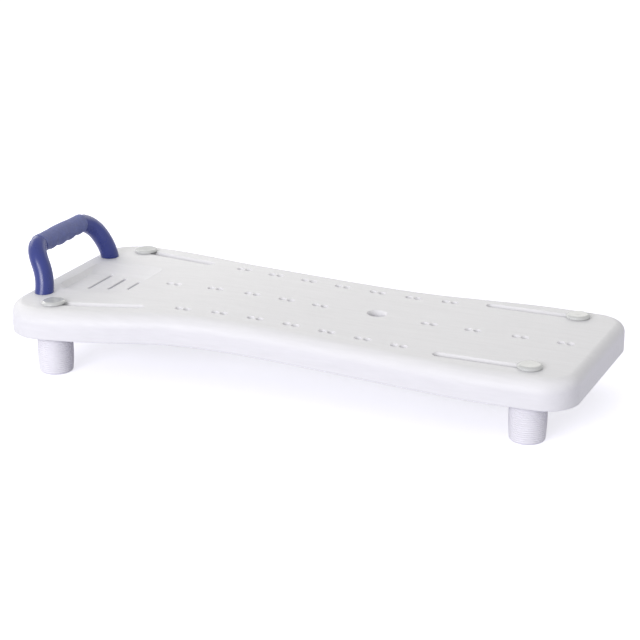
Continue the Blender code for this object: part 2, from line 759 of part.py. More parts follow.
def build_head_cap(name, place, slope, parts, material):
    """The round plastic cap on the board, snapped over the clamp bolt's head."""
    under = BOARD_TOP + lift(place[0]) + GAP
    top = under + CAP_HEIGHT
    pocket_radius = BOLT_HEAD_RADIUS + GAP
    pocket_top = under + CAP_POCKET_DEPTH
    profile = [(0.0, top - CAP_DIMPLE), (CAP_RADIUS * 0.6, top - CAP_DIMPLE), (CAP_RADIUS * 0.75, top),
               (CAP_RADIUS * 0.92, top - CAP_EDGE / 3), (CAP_RADIUS, top - CAP_EDGE), (CAP_RADIUS, under),
               (pocket_radius, under), (pocket_radius, pocket_top), (0.0, pocket_top)]
    cap = turned("head_cap_" + name, profile, place, parts, CAP_SIDES)
    return finish(lay_on_slope(cap, slope, FLOOR_TO_BOARD), material)


def build_clamp_bolt(name, place, angle, slope, parts, cutters, material):
    """A flat-headed bolt whose square neck slides in the slot and keeps it from turning."""
    under = BOARD_TOP + lift(place[0]) + GAP
    head_top = under + BOLT_HEAD_HEIGHT
    profile = [(0.0, head_top), (BOLT_HEAD_RADIUS - BOLT_EDGE, head_top),
               (BOLT_HEAD_RADIUS, head_top - BOLT_EDGE), (BOLT_HEAD_RADIUS, under), (BOLT_RADIUS, under),
               (BOLT_RADIUS, BOLT_TIP + BOLT_EDGE), (BOLT_RADIUS - BOLT_EDGE, BOLT_TIP), (0.0, BOLT_TIP)]
    bolt = turned("clamp_bolt_" + name, profile, place, parts, BOLT_SIDES)
    half = BOLT_NECK_WIDTH / 2
    neck = box("neck_" + name, (-half, -half, under - BOLT_NECK_DEPTH), (half, half, head_top - BOLT_EDGE),
               cutters)
    neck.location = (place[0], place[1], 0.0)
    neck.rotation_euler.z = angle
    cut_with(bolt, [neck], "UNION")
    make_cutter(neck)
    return finish(lay_on_slope(bolt, slope, BOARD_TOP - GAP), material)


def build_slide_washer(name, place, angle, slope, parts, cutters, material):
    """The broad washer under the slot's rails, with a lug that runs between them."""
    top = RAIL_BOTTOM + lift(place[0]) - GAP
    profile = [(0.0, top), (WASHER_RADIUS - WASHER_EDGE, top), (WASHER_RADIUS, top - WASHER_EDGE),
               (WASHER_RADIUS, WASHER_BOTTOM), (0.0, WASHER_BOTTOM)]
    washer = turned("slide_washer_" + name, profile, place, parts, ROUND_SIDES)
    start = (place[0] - SLOT_END_ROOM * math.cos(angle), place[1] - SLOT_END_ROOM * math.sin(angle))
    outline = stadium(start, angle, 2 * SLOT_END_ROOM, SLOT_WIDTH - 2 * GAP)
    lug = prism("lug_" + name, outline, top - GAP, top + WASHER_LUG_HEIGHT, cutters)
    bore = cylinder("bore_" + name, place, BOLT_RADIUS + GAP, 0.0, BOARD_TOP, cutters, BOLT_SIDES)
    boolean(washer, lug, "UNION")
    boolean(washer, bore)
    apply_modifiers(washer)
    make_cutter(lug)
    make_cutter(bore)
    return finish(lay_on_slope(washer, slope, WASHER_BOTTOM + GAP), material)


def build_foot(name, place, parts, cutters, core_material, steel, rubber):
    """The hand-turned foot: a captive nut in a plastic core, inside a ribbed rubber sleeve."""
    nut_radius = NUT_ACROSS_FLATS / 2 / math.cos(math.pi / 6)
    nut_top = FOOT_TOP - GAP
    nut_bottom = nut_top - NUT_HEIGHT
    bore = cylinder("foot_bore_" + name, place, BOLT_RADIUS + GAP, CORE_BORE_BOTTOM, FOOT_TOP + CUT_ROOM,
                    cutters, BOLT_SIDES)
    nut = cylinder("foot_nut_" + name, place, nut_radius, nut_bottom, nut_top, parts, 6)
    cut_with(nut, [bore])
    finish(nut, steel)
    pocket = cylinder("nut_pocket_" + name, place, nut_radius + 2 * GAP, nut_bottom - GAP,
                      FOOT_TOP + CUT_ROOM, cutters, 6)
    core = cylinder("foot_core_" + name, place, CORE_RADIUS, CORE_BOTTOM, FOOT_TOP, parts, ROUND_SIDES)
    cut_with(core, [pocket, bore])
    finish(core, core_material)
    for cutter in (bore, pocket):
        make_cutter(cutter)
    sleeve = turned("foot_sleeve_" + name, sleeve_profile(), place, parts, ROUND_SIDES)
    finish(sleeve, rubber)
    for item in (nut, core):
        move_origin(item, place)


def sleeve_radius(height):
    """The barrel shape of the sleeve, widest a little above the middle of its height."""
    share = (height - SLEEVE_WIDEST) / SLEEVE_WIDEST
    return SLEEVE_RADIUS - SLEEVE_BARREL * share ** 2


def sleeve_profile():
    """Up the inside of the sleeve's cup, over its rim and down its ribbed outside."""
    inner = CORE_RADIUS + GAP
    top = FOOT_TOP - GAP
    profile = [(0.0, SLEEVE_FLOOR), (inner, SLEEVE_FLOOR), (inner, top),
               (sleeve_radius(top) - SLEEVE_GROOVE, top)]
    pitch = (top - SLEEVE_EDGE) / SLEEVE_RIBS
    for rib in range(SLEEVE_RIBS):
        crest = top - pitch * (rib + 0.25)
        groove = top - pitch * (rib + 0.75)
        profile.append((sleeve_radius(crest), crest))
        profile.append((sleeve_radius(groove) - SLEEVE_GROOVE, groove))
    edge = sleeve_radius(SLEEVE_EDGE)
    profile += [(edge, SLEEVE_EDGE), (edge - SLEEVE_EDGE * 0.25, SLEEVE_EDGE * 0.4),
                (edge - SLEEVE_EDGE * 0.8, 0.0), (0.0, 0.0)]
    return profile


def move_origin(item, place):
    """Put a piece's origin on the upright axis through the place."""
    item.data.transform(Matrix.Translation((-place[0], -place[1], 0.0)))
    item.location = (place[0], place[1], 0.0)


def main():
    clear_scene()
    parts = make_collection("bath_board")
    cutters = make_collection("cutters")
    white = make_material("board_white", PLASTIC_WHITE, BOARD_ROUGHNESS)
    grey = make_material("cap_grey", CAP_GREY, CAP_ROUGHNESS)
    blue = make_material("handle_blue", HANDLE_BLUE, HANDLE_ROUGHNESS)
    grip_blue = make_material("grip_blue", GRIP_BLUE, GRIP_ROUGHNESS)
    rubber = make_material("rubber_white", RUBBER_WHITE, RUBBER_ROUGHNESS)
    steel = make_material("steel", STEEL, STEEL_ROUGHNESS, metallic=1.0)
    build_seat_board(parts, cutters, white)
    build_handle(parts, cutters, blue)
    build_grip(parts, cutters, grip_blue)
    build_handle_fixings(parts, steel)
    for name, place, angle, slope in corners():
        build_head_cap(name, place, slope, parts, grey)
        build_clamp_bolt(name, place, angle, slope, parts, cutters, steel)
        build_slide_washer(name, place, angle, slope, parts, cutters, white)
        build_foot(name, place, parts, cutters, white, steel, rubber)


main()
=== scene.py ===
"""The bath board's looks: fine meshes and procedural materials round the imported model.

Metres, +Z up.  X runs along the board, from the handle end (-X) to the far end (+X),
and Y runs across it.  The origin lies on the floor under the middle of the whole bench.
"""

import math

import bmesh
import bpy
from mathutils import Matrix, Vector


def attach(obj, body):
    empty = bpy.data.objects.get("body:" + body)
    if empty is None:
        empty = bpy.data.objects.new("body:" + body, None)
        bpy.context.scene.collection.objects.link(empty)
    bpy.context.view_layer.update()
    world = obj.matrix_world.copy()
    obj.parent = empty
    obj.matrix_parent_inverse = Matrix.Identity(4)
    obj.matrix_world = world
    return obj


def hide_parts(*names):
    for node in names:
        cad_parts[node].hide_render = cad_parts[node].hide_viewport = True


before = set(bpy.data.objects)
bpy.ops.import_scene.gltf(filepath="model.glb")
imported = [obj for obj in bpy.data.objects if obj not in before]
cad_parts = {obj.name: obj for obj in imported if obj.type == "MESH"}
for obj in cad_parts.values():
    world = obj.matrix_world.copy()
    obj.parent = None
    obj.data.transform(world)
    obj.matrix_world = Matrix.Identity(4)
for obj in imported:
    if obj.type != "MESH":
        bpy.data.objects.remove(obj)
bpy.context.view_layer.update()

# Camera: its direction from the board, and the offset of its aim from the board's top middle
CAMERA_AZIMUTH = math.radians(23.79)
CAMERA_ELEVATION = math.radians(19.23)
CAMERA_DISTANCE = 2.2270
CAMERA_LENS = 107.0
CAMERA_SENSOR = 36.0
CAMERA_CLIP_END = 50.0
AIM_RIGHT = 0.0034
AIM_UP = -0.0143
AIM_X = 0.0009

# Gaps between touching pieces, and how far a cutter runs past what it cuts
GAP = 0.0003
CUT_ROOM = 0.003

# Shading and cleaning of the meshes, with angles in degrees
SHARP_ANGLE = 32.0
NORMAL_WEIGHT = 80
MERGE_DISTANCE = 0.00001

# Seat board, seen from above.  Places along it are counted from the board's own middle.
BOARD_LENGTH = 0.692
BOARD_THICKNESS = 0.034
FLOOR_TO_BOARD = 0.048
BOARD_TOP = FLOOR_TO_BOARD + BOARD_THICKNESS
SIDE_STATIONS = (
    (-0.345, 0.1477), (-0.296, 0.1484), (-0.246, 0.1429), (-0.195, 0.1316), (-0.144, 0.1191),
    (-0.092, 0.1131), (-0.020, 0.1106), (0.063, 0.1123), (0.115, 0.1157), (0.166, 0.1208),
    (0.233, 0.1266), (0.290, 0.1261), (0.345, 0.1233),
)
SIDE_STEP = 0.008
HANDLE_END_CORNER = 0.050
FAR_END_CORNER = 0.0400
CORNER_SEGMENTS = 16
SIDE_EDGE_RADIUS = 0.0170
END_EDGE_RADIUS = 0.0115
TOP_EDGE_STEPS = 12
FOOT_EDGE_RADIUS = 0.0010
FOOT_EDGE_STEPS = 3
SKIRT_WALL = 0.0032
TOP_PLATE = 0.0046
RIB_WIDTH = 0.0026
RIB_BOTTOM = FLOOR_TO_BOARD + 0.006
LENGTH_RIB_Y = 0.034
CROSS_RIBS_X = (-0.208, -0.155, -0.110, -0.0645, -0.020, 0.025, 0.056, 0.114, 0.168, 0.222, 0.277)

# Lengthwise camber
CAMBER_SLOPE = 0.0366
CAMBER_BLEND_START = -0.318
CAMBER_RISE_START = -0.306
CAMBER_RISE_END = -0.166
CAMBER_END = 0.140
CAMBER_STEP = 0.006

# Drain holes.  A flare is how far an opening widens at the top, and from what depth.
DRAIN_RADIUS = 0.0036
DRAIN_FLARE = (0.0012, 0.0030)
DRAIN_PAIR_SPACING = 0.0109
DRAIN_SIDES = 20
SIDE_ROW_FIRST_X = -0.1327
SIDE_ROW_PITCH = 0.04483
SIDE_ROW_COUNT = 7
SIDE_ROW_EDGE_INSET = 0.0355
MIDDLE_ROW_X = (-0.188, -0.132, -0.083, -0.038, 0.005, 0.141, 0.194, 0.250, 0.303)
LARGE_DRAIN_PLACE = (0.0740, 0.0070)
LARGE_DRAIN_RADIUS = 0.0100
LARGE_DRAIN_FLARE = (0.0020, 0.0032)
LARGE_DRAIN_WALL = 0.0025
LARGE_DRAIN_BOTTOM = FLOOR_TO_BOARD + 0.018
LARGE_DRAIN_SIDES = 40

# Slots that the clamping feet travel in
SLOT_WIDTH = 0.0088
SLOT_FLARE = (0.0020, 0.0040)
SLOT_RAIL = 0.0040
RAIL_BOTTOM = FLOOR_TO_BOARD + 0.002
SLOT_LENGTH = 0.105
SLOT_END_ROOM = 0.0035
HANDLE_END_FOOT = (-0.2882, 0.1131)
HANDLE_END_SLOT_ANGLE = math.radians(-12.0)
FAR_END_FOOT = (0.2901, 0.0902)
FAR_END_SLOT_ANGLE = math.radians(180.0)

# Soap dish.  Its side runs from 0 at the floor's edge to 1 at the rim, and is blended into both.
DISH_TOP_CENTRE = (-0.2756, 0.0010)
DISH_TOP_LENGTH = 0.092
DISH_TOP_WIDTH = 0.116
DISH_TOP_CORNER = 0.018
DISH_FLOOR_CENTRE = (-0.2785, -0.0110)
DISH_FLOOR_LENGTH = 0.075
DISH_FLOOR_WIDTH = 0.076
DISH_FLOOR_CORNER = 0.010
DISH_FLOOR_TOP = BOARD_TOP - 0.0055
DISH_SHELL = 0.0030
DISH_SHELL_REACH = 0.8
DISH_FOOT_BLEND = 0.10
DISH_RIM_BLEND = 0.03
DISH_BLEND_STEPS = 6
DISH_SLOT_WIDTH = 0.0038
DISH_SLOT_FLARE = (0.0004, 0.0006)
DISH_SLOTS = (((-0.2895, -0.0015), 0.059), ((-0.2662, -0.0010), 0.045), ((-0.2440, 0.0005), 0.031))

# Grab handle
BAR_RADIUS = 0.0112
LEG_BASE_X = -0.3220
LEG_BASE_Y = 0.0792
CORNER_Y = 0.0639
GRIP_HEIGHT = 0.0492
CORNER_RADIUS = 0.0244
OUTWARD_REACH = 0.0230
OUTWARD_POWER = 2.1
LEG_HOLE_DEPTH = 0.018
LEG_BASE_EDGE = 0.0009
LEG_BASE_EDGE_ANGLE = 40.0
LEG_BASE_EDGE_SEGMENTS = 3
BAR_SIDES = 48
BAR_STEP = 0.003
BAR_PROBE = 0.0001
SQUARE_RUN = 0.0015
BEND_ANGLE = math.atan2(GRIP_HEIGHT, LEG_BASE_Y - CORNER_Y)
STRAIGHT_HALF_LENGTH = CORNER_Y - CORNER_RADIUS * math.tan(BEND_ANGLE / 2)
LEG_START = STRAIGHT_HALF_LENGTH + CORNER_RADIUS * BEND_ANGLE
LEG_END = LEG_START + 0.038

# Soft grip.  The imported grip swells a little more, and its swell counts in the bench's length.
GRIP_HALF_LENGTH = 0.0490
GRIP_CORE_RADIUS = 0.0080
GRIP_RADIUS = 0.0118
GRIP_SWELL = 0.0004
CAD_GRIP_SWELL = 0.0008
GRIP_SWELL_PITCH = 0.070
GRIP_EDGE = 0.0007
GRIP_EDGE_STEPS = 4
GRIP_CORE_STEPS = 20
GRIP_STEPS = 90
GRIP_BORE_STEPS = 40
FINGER_PITCH = 0.0218
FINGER_SHIFT = 0.0045
FINGER_WAVE = 0.0007
FINGER_END = 0.0470
FINGER_FADE = 0.010
SHOULDER = 0.0002
GRIP_REACH = OUTWARD_REACH + GRIP_RADIUS + CAD_GRIP_SWELL - LEG_BASE_X
BOARD_SHIFT = (GRIP_REACH - BOARD_LENGTH / 2) / 2

# Handle screws and washers, from below
BOSS_RADIUS = 0.0100
BOSS_BOTTOM = FLOOR_TO_BOARD + 0.010
BOSS_SIDES = 32
SCREW_RADIUS = 0.0025
SCREW_SIDES = 32
SCREW_HOLE_SIDES = 24
SCREW_HEAD_RADIUS = 0.0046
SCREW_HEAD_HEIGHT = 0.0032
SCREW_HEAD_EDGE = 0.0010
SCREW_HEAD_EDGE_STEPS = 5
SCREW_LENGTH = 0.040
SCREW_POINT = 0.005
SCREW_PITCH = 0.0018
SCREW_THREAD = 0.0005
CROSS_SLOT_LENGTH = 0.0050
CROSS_SLOT_WIDTH = 0.0009
CROSS_SLOT_DEPTH = 0.0018
SCREW_WASHER_RADIUS = 0.0065
SCREW_WASHER_THICKNESS = 0.0012
SCREW_WASHER_EDGE = SCREW_WASHER_THICKNESS / 4
SCREW_WASHER_SIDES = 40

# Clamping feet: the caps.  The dimple's stations and the edge's reach are shares of the radius.
CAP_RADIUS = 0.0142
CAP_HEIGHT = 0.0042
CAP_POCKET_DEPTH = 0.0026
CAP_UNDERCUT = 0.0009
CAP_FOOT_HEIGHT = 0.0004
CAP_DRAFT = 0.0001
CAP_DIMPLE = 0.0003
CAP_DIMPLE_STATIONS = (0.2, 0.4, 0.55, 0.7)
CAP_EDGE_REACH = 0.3
CAP_WALL_HEIGHT = 0.0008
CAP_EDGE_STEPS = 10

# Clamping feet: bolts, washers and feet
BOLT_RADIUS = 0.0040
BOLT_SIDES = 32
BOLT_HEAD_RADIUS = 0.0095
BOLT_HEAD_HEIGHT = 0.0022
BOLT_EDGE = 0.0009
BOLT_NECK_WIDTH = 0.0082
BOLT_NECK_DEPTH = 0.0065
BOLT_TIP = 0.014
BOLT_PITCH = 0.00125
BOLT_THREAD = 0.0006
WASHER_RADIUS = 0.0180
WASHER_BOTTOM = FLOOR_TO_BOARD - 0.0015
WASHER_EDGE = 0.0005
WASHER_LUG_HEIGHT = 0.0050
FOOT_TOP = WASHER_BOTTOM - GAP
CORE_RADIUS = 0.0165
SLEEVE_RADIUS = 0.0213
SLEEVE_BARREL = 0.0016
SLEEVE_WIDEST = 0.026
SLEEVE_FLOOR = 0.0040
SLEEVE_EDGE = 0.0030
SLEEVE_EDGE_REACH = SLEEVE_EDGE * 0.8
SLEEVE_EDGE_STEPS = 8
SLEEVE_RIBS = 17
SLEEVE_RIB_STEPS = 8
SLEEVE_GROOVE = 0.0006
SLEEVE_GROOVE_POWER = 1.5
SLEEVE_SHARP_ANGLE = 50.0
ROUND_SIDES = 64

# Colours of the materials, in linear red, green and blue
BOARD_WHITE = (0.80, 0.797, 0.815)
CAP_GREY = (0.57, 0.58, 0.575)
HANDLE_BLUE = (0.027, 0.041, 0.215)
GRIP_BLUE = (0.118, 0.139, 0.325)
RUBBER_WHITE = (0.84, 0.83, 0.87)
STEEL_GREY = (0.62, 0.62, 0.63)
FLOOR_TINT = (0.70, 0.69, 0.81)
FULL_WHITE = (1.0, 1.0, 1.0, 1.0)

# Studio: the floor is seen nearly white by its own glow, and soft lamps light the object
FLOOR_SIZE = 24.0
FLOOR_GLOW = 0.65
WORLD_LIGHT = (1.0, 0.998, 0.985, 1.0)
WORLD_STRENGTH = 0.602
FRONT_LIGHT = {"place": (-0.640, -3.700, 1.438), "target": (0.0, 0.0, 0.07), "size": (2.2, 1.0),
               "power": 85.0, "colour": (0.975, 0.965, 1.0)}
BACK_LIGHT = {"place": (-0.20, 0.62, 0.42), "target": (0.0, 0.0, 0.08), "size": (0.9, 0.3),
              "power": 0.95, "colour": (1.0, 0.985, 0.93)}
SIDE_LIGHT = {"place": (-0.82, 0.22, 0.40), "target": (-0.15, 0.0, 0.08), "size": (0.5, 0.3),
              "power": 1.00, "colour": (1.0, 0.985, 0.95)}


def new_object(name, bm):
    bmesh.ops.recalc_face_normals(bm, faces=bm.faces)
    mesh = bpy.data.meshes.new(name)
    bm.to_mesh(mesh)
    bm.free()
    item = bpy.data.objects.new(name, mesh)
    bpy.context.scene.collection.objects.link(item)
    return item


def evaluated_mesh(item):
    bpy.context.view_layer.update()
    depsgraph = bpy.context.evaluated_depsgraph_get()
    return bpy.data.meshes.new_from_object(item.evaluated_get(depsgraph))


def apply_modifiers(item):
    mesh = evaluated_mesh(item)
    item.modifiers.clear()
    item.data = mesh
    return item


def round_edges(item, width, segments, angle):
    """Round the edges that are sharper than the angle."""
    bevel = item.modifiers.new("rounded", "BEVEL")
    bevel.width = width
    bevel.segments = segments
    bevel.limit_method = "ANGLE"
    bevel.angle_limit = math.radians(angle)
    return apply_modifiers(item)


def combine(target, tools, operation="DIFFERENCE"):
    """Cut the tools out of the target, or join them to it, and remove them."""
    for tool in tools:
        modifier = target.modifiers.new(tool.name, "BOOLEAN")
        modifier.operation = operation
        modifier.solver = "EXACT"
        modifier.object = tool
    apply_modifiers(target)
    for tool in tools:
        bpy.data.objects.remove(tool, do_unlink=True)
    return target


def loft(name, rings):
    """A closed skin through rings that all have the same number of points."""
    bm = bmesh.new()
    loops = [[bm.verts.new(point) for point in ring] for ring in rings]
    bm.faces.new(loops[0])
    bm.faces.new(loops[-1])
    for lower, upper in zip(loops, loops[1:]):
        for index in range(len(lower)):
            following = (index + 1) % len(lower)
            bm.faces.new((lower[index], lower[following], upper[following], upper[index]))
    return new_object(name, bm)


def level_ring(points, height):
    return [Vector((x, y, height)) for x, y in points]


def box(name, low, high):
    bm = bmesh.new()
    size = Vector(high) - Vector(low)
    middle = (Vector(high) + Vector(low)) / 2
    matrix = Matrix.Translation(middle) @ Matrix.Diagonal(size.to_4d())
    bmesh.ops.create_cube(bm, size=1.0, matrix=matrix)
    return new_object(name, bm)


def cylinder(name, centre, radius, low, high, sides=ROUND_SIDES):
    bm = bmesh.new()
    middle = Matrix.Translation((centre[0], centre[1], (low + high) / 2))
    bmesh.ops.create_cone(bm, cap_ends=True, segments=sides, radius1=radius, radius2=radius,
                          depth=high - low, matrix=middle)
    return new_object(name, bm)


def turned(name, profile, centre, sides=ROUND_SIDES):
    """A profile of (radius, height) points, top to bottom down the outside, turned round Z."""
    bm = bmesh.new()
    verts = [bm.verts.new((radius, 0.0, height)) for radius, height in profile]
    for first, second in zip(verts, verts[1:]):
        bm.edges.new((first, second))
    item = new_object(name, bm)
    screw = item.modifiers.new("turned", "SCREW")
    screw.steps = sides
    screw.render_steps = sides
    screw.use_merge_vertices = True
    screw.merge_threshold = MERGE_DISTANCE
    apply_modifiers(item)
    item.data.transform(Matrix.Translation((centre[0], centre[1], 0.0)))
    return item


def arc(centre, radius, start, end, segments):
    """Points along an arc, both ends included."""
    points = []
    for step in range(segments + 1):
        angle = start + (end - start) * step / segments
        points.append((centre[0] + radius * math.cos(angle), centre[1] + radius * math.sin(angle)))
    return points


def circle(centre, radius, sides):
    """Points round a whole circle, each once."""
    return arc(centre, radius, 0.0, math.tau, sides)[:-1]


def spread(first, last, steps):
    """Evenly spaced values from the first to the last, both included."""
    return [first + (last - first) * step / steps for step in range(steps + 1)]


def arc_ellipse(centre, reach_x, reach_y, start, end, segments):
    """Points along an ellipse's arc, both ends included."""
    points = []
    for angle in spread(start, end, segments):
        points.append((centre[0] + reach_x * math.cos(angle), centre[1] + reach_y * math.sin(angle)))
    return points


def stadium(centre, angle, length, width, segments=12):
    """A slot's outline from its first centre along the angle, with round ends."""
    start = Vector(centre)
    end = start + Vector((math.cos(angle), math.sin(angle))) * length
    points = arc(end, width / 2, angle - math.pi / 2, angle + math.pi / 2, segments)
    return points + arc(start, width / 2, angle + math.pi / 2, angle + math.pi * 3 / 2, segments)


def rounded_rectangle(centre, length, width, radius, segments=10):
    points = []
    for quarter, (sign_x, sign_y) in enumerate(((1, 1), (-1, 1), (-1, -1), (1, -1))):
        corner = (centre[0] + sign_x * (length / 2 - radius), centre[1] + sign_y * (width / 2 - radius))
        points += arc(corner, radius, quarter * math.pi / 2, (quarter + 1) * math.pi / 2, segments)
    return points


def flared_cutter(name, outline_for, width, flare, low, surface):
    """A cutter that widens evenly where it nears the surface above."""
    reach, depth = flare
    wide = outline_for(width + 2 * reach)
    rings = [level_ring(outline_for(width), low), level_ring(outline_for(width), surface - depth)]
    rings += [level_ring(wide, surface), level_ring(wide, surface + CUT_ROOM)]
    return loft(name, rings)


def smooth(item, angle=SHARP_ANGLE):
    """Smooth shading that keeps sharp edges and lets the broad faces set the normals."""
    item.data.shade_smooth()
    item.data.set_sharp_from_angle(angle=math.radians(angle))
    weighted = item.modifiers.new("weighted", "WEIGHTED_NORMAL")
    weighted.keep_sharp = True
    weighted.weight = NORMAL_WEIGHT
    return item


def dress(item, body, slot, material, *nodes):
    """Give a piece its material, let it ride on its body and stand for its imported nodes."""
    item.data.materials.clear()
    item.data.materials.append(material)
    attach(item, body)
    if nodes:
        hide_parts(*nodes)
    return item


def smooth_half_width(x):
    """Half the board's width at x: a smooth curve through the side stations."""
    stations = SIDE_STATIONS
    index = 0
    while index < len(stations) - 2 and x > stations[index + 1][0]:
        index += 1
    before = stations[max(index - 1, 0)]
    here = stations[index]
    after = stations[index + 1]
    beyond = stations[min(index + 2, len(stations) - 1)]
    span = after[0] - here[0]
    share = (x - here[0]) / span
    slope_here = (after[1] - before[1]) / (after[0] - before[0]) * span
    slope_after = (beyond[1] - here[1]) / (beyond[0] - here[0]) * span
    square = share * share
    cube = square * share
    return (here[1] * (2 * cube - 3 * square + 1) + slope_here * (cube - 2 * square + share)
            + after[1] * (3 * square - 2 * cube) + slope_after * (cube - square))


def half_outline():
    """The board's outline on the +Y side, from the far end's middle to the handle end's."""
    far_x = BOARD_LENGTH / 2 - FAR_END_CORNER
    near_x = HANDLE_END_CORNER - BOARD_LENGTH / 2
    far_centre = (far_x, smooth_half_width(far_x) - FAR_END_CORNER)
    near_centre = (near_x, smooth_half_width(near_x) - HANDLE_END_CORNER)
    points = arc(far_centre, FAR_END_CORNER, 0.0, math.pi / 2, CORNER_SEGMENTS)
    steps = round((far_x - near_x) / SIDE_STEP)
    for x in spread(far_x, near_x, steps)[1:-1]:
        points.append((x, smooth_half_width(x)))
    return points + arc(near_centre, HANDLE_END_CORNER, math.pi / 2, math.pi, CORNER_SEGMENTS)


def board_outline():
    """Each point of the whole outline at its place in the bench, and its direction inward."""
    upper = half_outline()
    points = [Vector((x + BOARD_SHIFT, y)) for x, y in upper]
    points += [Vector((point.x, -point.y)) for point in reversed(points)]
    outline = []
    for index, here in enumerate(points):
        first = (here - points[index - 1]).normalized()
        second = (points[(index + 1) % len(points)] - here).normalized()
        inward = Vector((-(first + second).y, (first + second).x)).normalized()
        outline.append((here, inward))
    return outline


def board_ring(inset, height, turn):
    """The outline moved in by the inset, and round the top edge by the turn, under the height."""
    ring = []
    for here, inward in board_outline():
        radius = END_EDGE_RADIUS + (SIDE_EDGE_RADIUS - END_EDGE_RADIUS) * inward.y ** 2 - inset
        place = here + inward * (inset + radius * (1 - math.cos(turn)))
        ring.append(Vector((place.x, place.y, height - radius * (1 - math.sin(turn)))))
    return ring


def skirt_ring(inset, height):
    return [Vector((point.x, point.y, height)) for point in board_ring(inset, height, 0.0)]


def camber(x):
    """How far the board is lifted at x, counted from the board's middle."""
    blend = CAMBER_RISE_START - CAMBER_BLEND_START
    if x <= CAMBER_BLEND_START or x >= CAMBER_END:
        return 0.0
    if x < CAMBER_RISE_START:
        return CAMBER_SLOPE * (x - CAMBER_BLEND_START) ** 2 / (2 * blend)
    rise = CAMBER_SLOPE * (blend / 2 + min(x, CAMBER_RISE_END) - CAMBER_RISE_START)
    if x <= CAMBER_RISE_END:
        return rise
    span = CAMBER_END - CAMBER_RISE_END
    share = (x - CAMBER_RISE_END) / span
    square = share * share
    cube = square * share
    return rise * (2 * cube - 3 * square + 1) + CAMBER_SLOPE * span * (cube - 2 * square + share)


def lift(x):
    """The camber at x, in the bench's own frame."""
    return camber(x - BOARD_SHIFT)


def slice_and_bend(item):
    """Slice the board across, then lift every point by the camber."""
    bm = bmesh.new()
    bm.from_mesh(item.data)
    slices = round((CAMBER_END - CAMBER_BLEND_START) / CAMBER_STEP)
    for station in spread(CAMBER_BLEND_START, CAMBER_END, slices):
        everything = list(bm.verts) + list(bm.edges) + list(bm.faces)
        bmesh.ops.bisect_plane(bm, geom=everything, dist=MERGE_DISTANCE,
                               plane_co=(station + BOARD_SHIFT, 0.0, 0.0), plane_no=(1.0, 0.0, 0.0))
    for vert in bm.verts:
        vert.co.z += lift(vert.co.x)
    bm.to_mesh(item.data)
    bm.free()
    return item


def corners():
    """Name, place, slot angle and slope of each clamping foot."""
    found = []
    for end, (x, y), angle in (("handle_end", HANDLE_END_FOOT, HANDLE_END_SLOT_ANGLE),
                               ("far_end", FAR_END_FOOT, FAR_END_SLOT_ANGLE)):
        slope = CAMBER_SLOPE if end == "handle_end" else 0.0
        found.append((end + "_back", (x + BOARD_SHIFT, y), angle, slope))
        found.append((end + "_front", (x + BOARD_SHIFT, -y), -angle, slope))
    return found


def slot_outline(place, angle, width):
    """A slot from just outside its foot's place to its inner end, the given width across."""
    start = (place[0] - SLOT_END_ROOM * math.cos(angle), place[1] - SLOT_END_ROOM * math.sin(angle))
    return stadium(start, angle, SLOT_LENGTH + SLOT_END_ROOM, width)


def leg_places():
    return (("back", (LEG_BASE_X + BOARD_SHIFT, LEG_BASE_Y)),
            ("front", (LEG_BASE_X + BOARD_SHIFT, -LEG_BASE_Y)))


def drain_places():
    """Centres of all the small drain holes."""
    pairs = [(x, 0.0) for x in MIDDLE_ROW_X]
    for step in range(SIDE_ROW_COUNT):
        x = SIDE_ROW_FIRST_X + SIDE_ROW_PITCH * step
        y = smooth_half_width(x) - SIDE_ROW_EDGE_INSET
        pairs += [(x, y), (x, -y)]
    return [(x + BOARD_SHIFT + side * DRAIN_PAIR_SPACING, y) for x, y in pairs for side in (-0.5, 0.5)]


def shifted(place):
    """A place counted from the board's own middle, counted from the bench's middle."""
    return (place[0] + BOARD_SHIFT, place[1])


def board_body():
    """The board's outside, with rounded upper and lower edges, as one solid block."""
    rings = []
    for turn in spread(0.0, math.pi / 2, FOOT_EDGE_STEPS):
        inset = FOOT_EDGE_RADIUS * (1 - math.sin(turn))
        rings.append(skirt_ring(inset, FLOOR_TO_BOARD + FOOT_EDGE_RADIUS * (1 - math.cos(turn))))
    rings += [board_ring(0.0, BOARD_TOP, turn) for turn in spread(0.0, math.pi / 2, TOP_EDGE_STEPS)]
    return loft("board_moulding", rings)


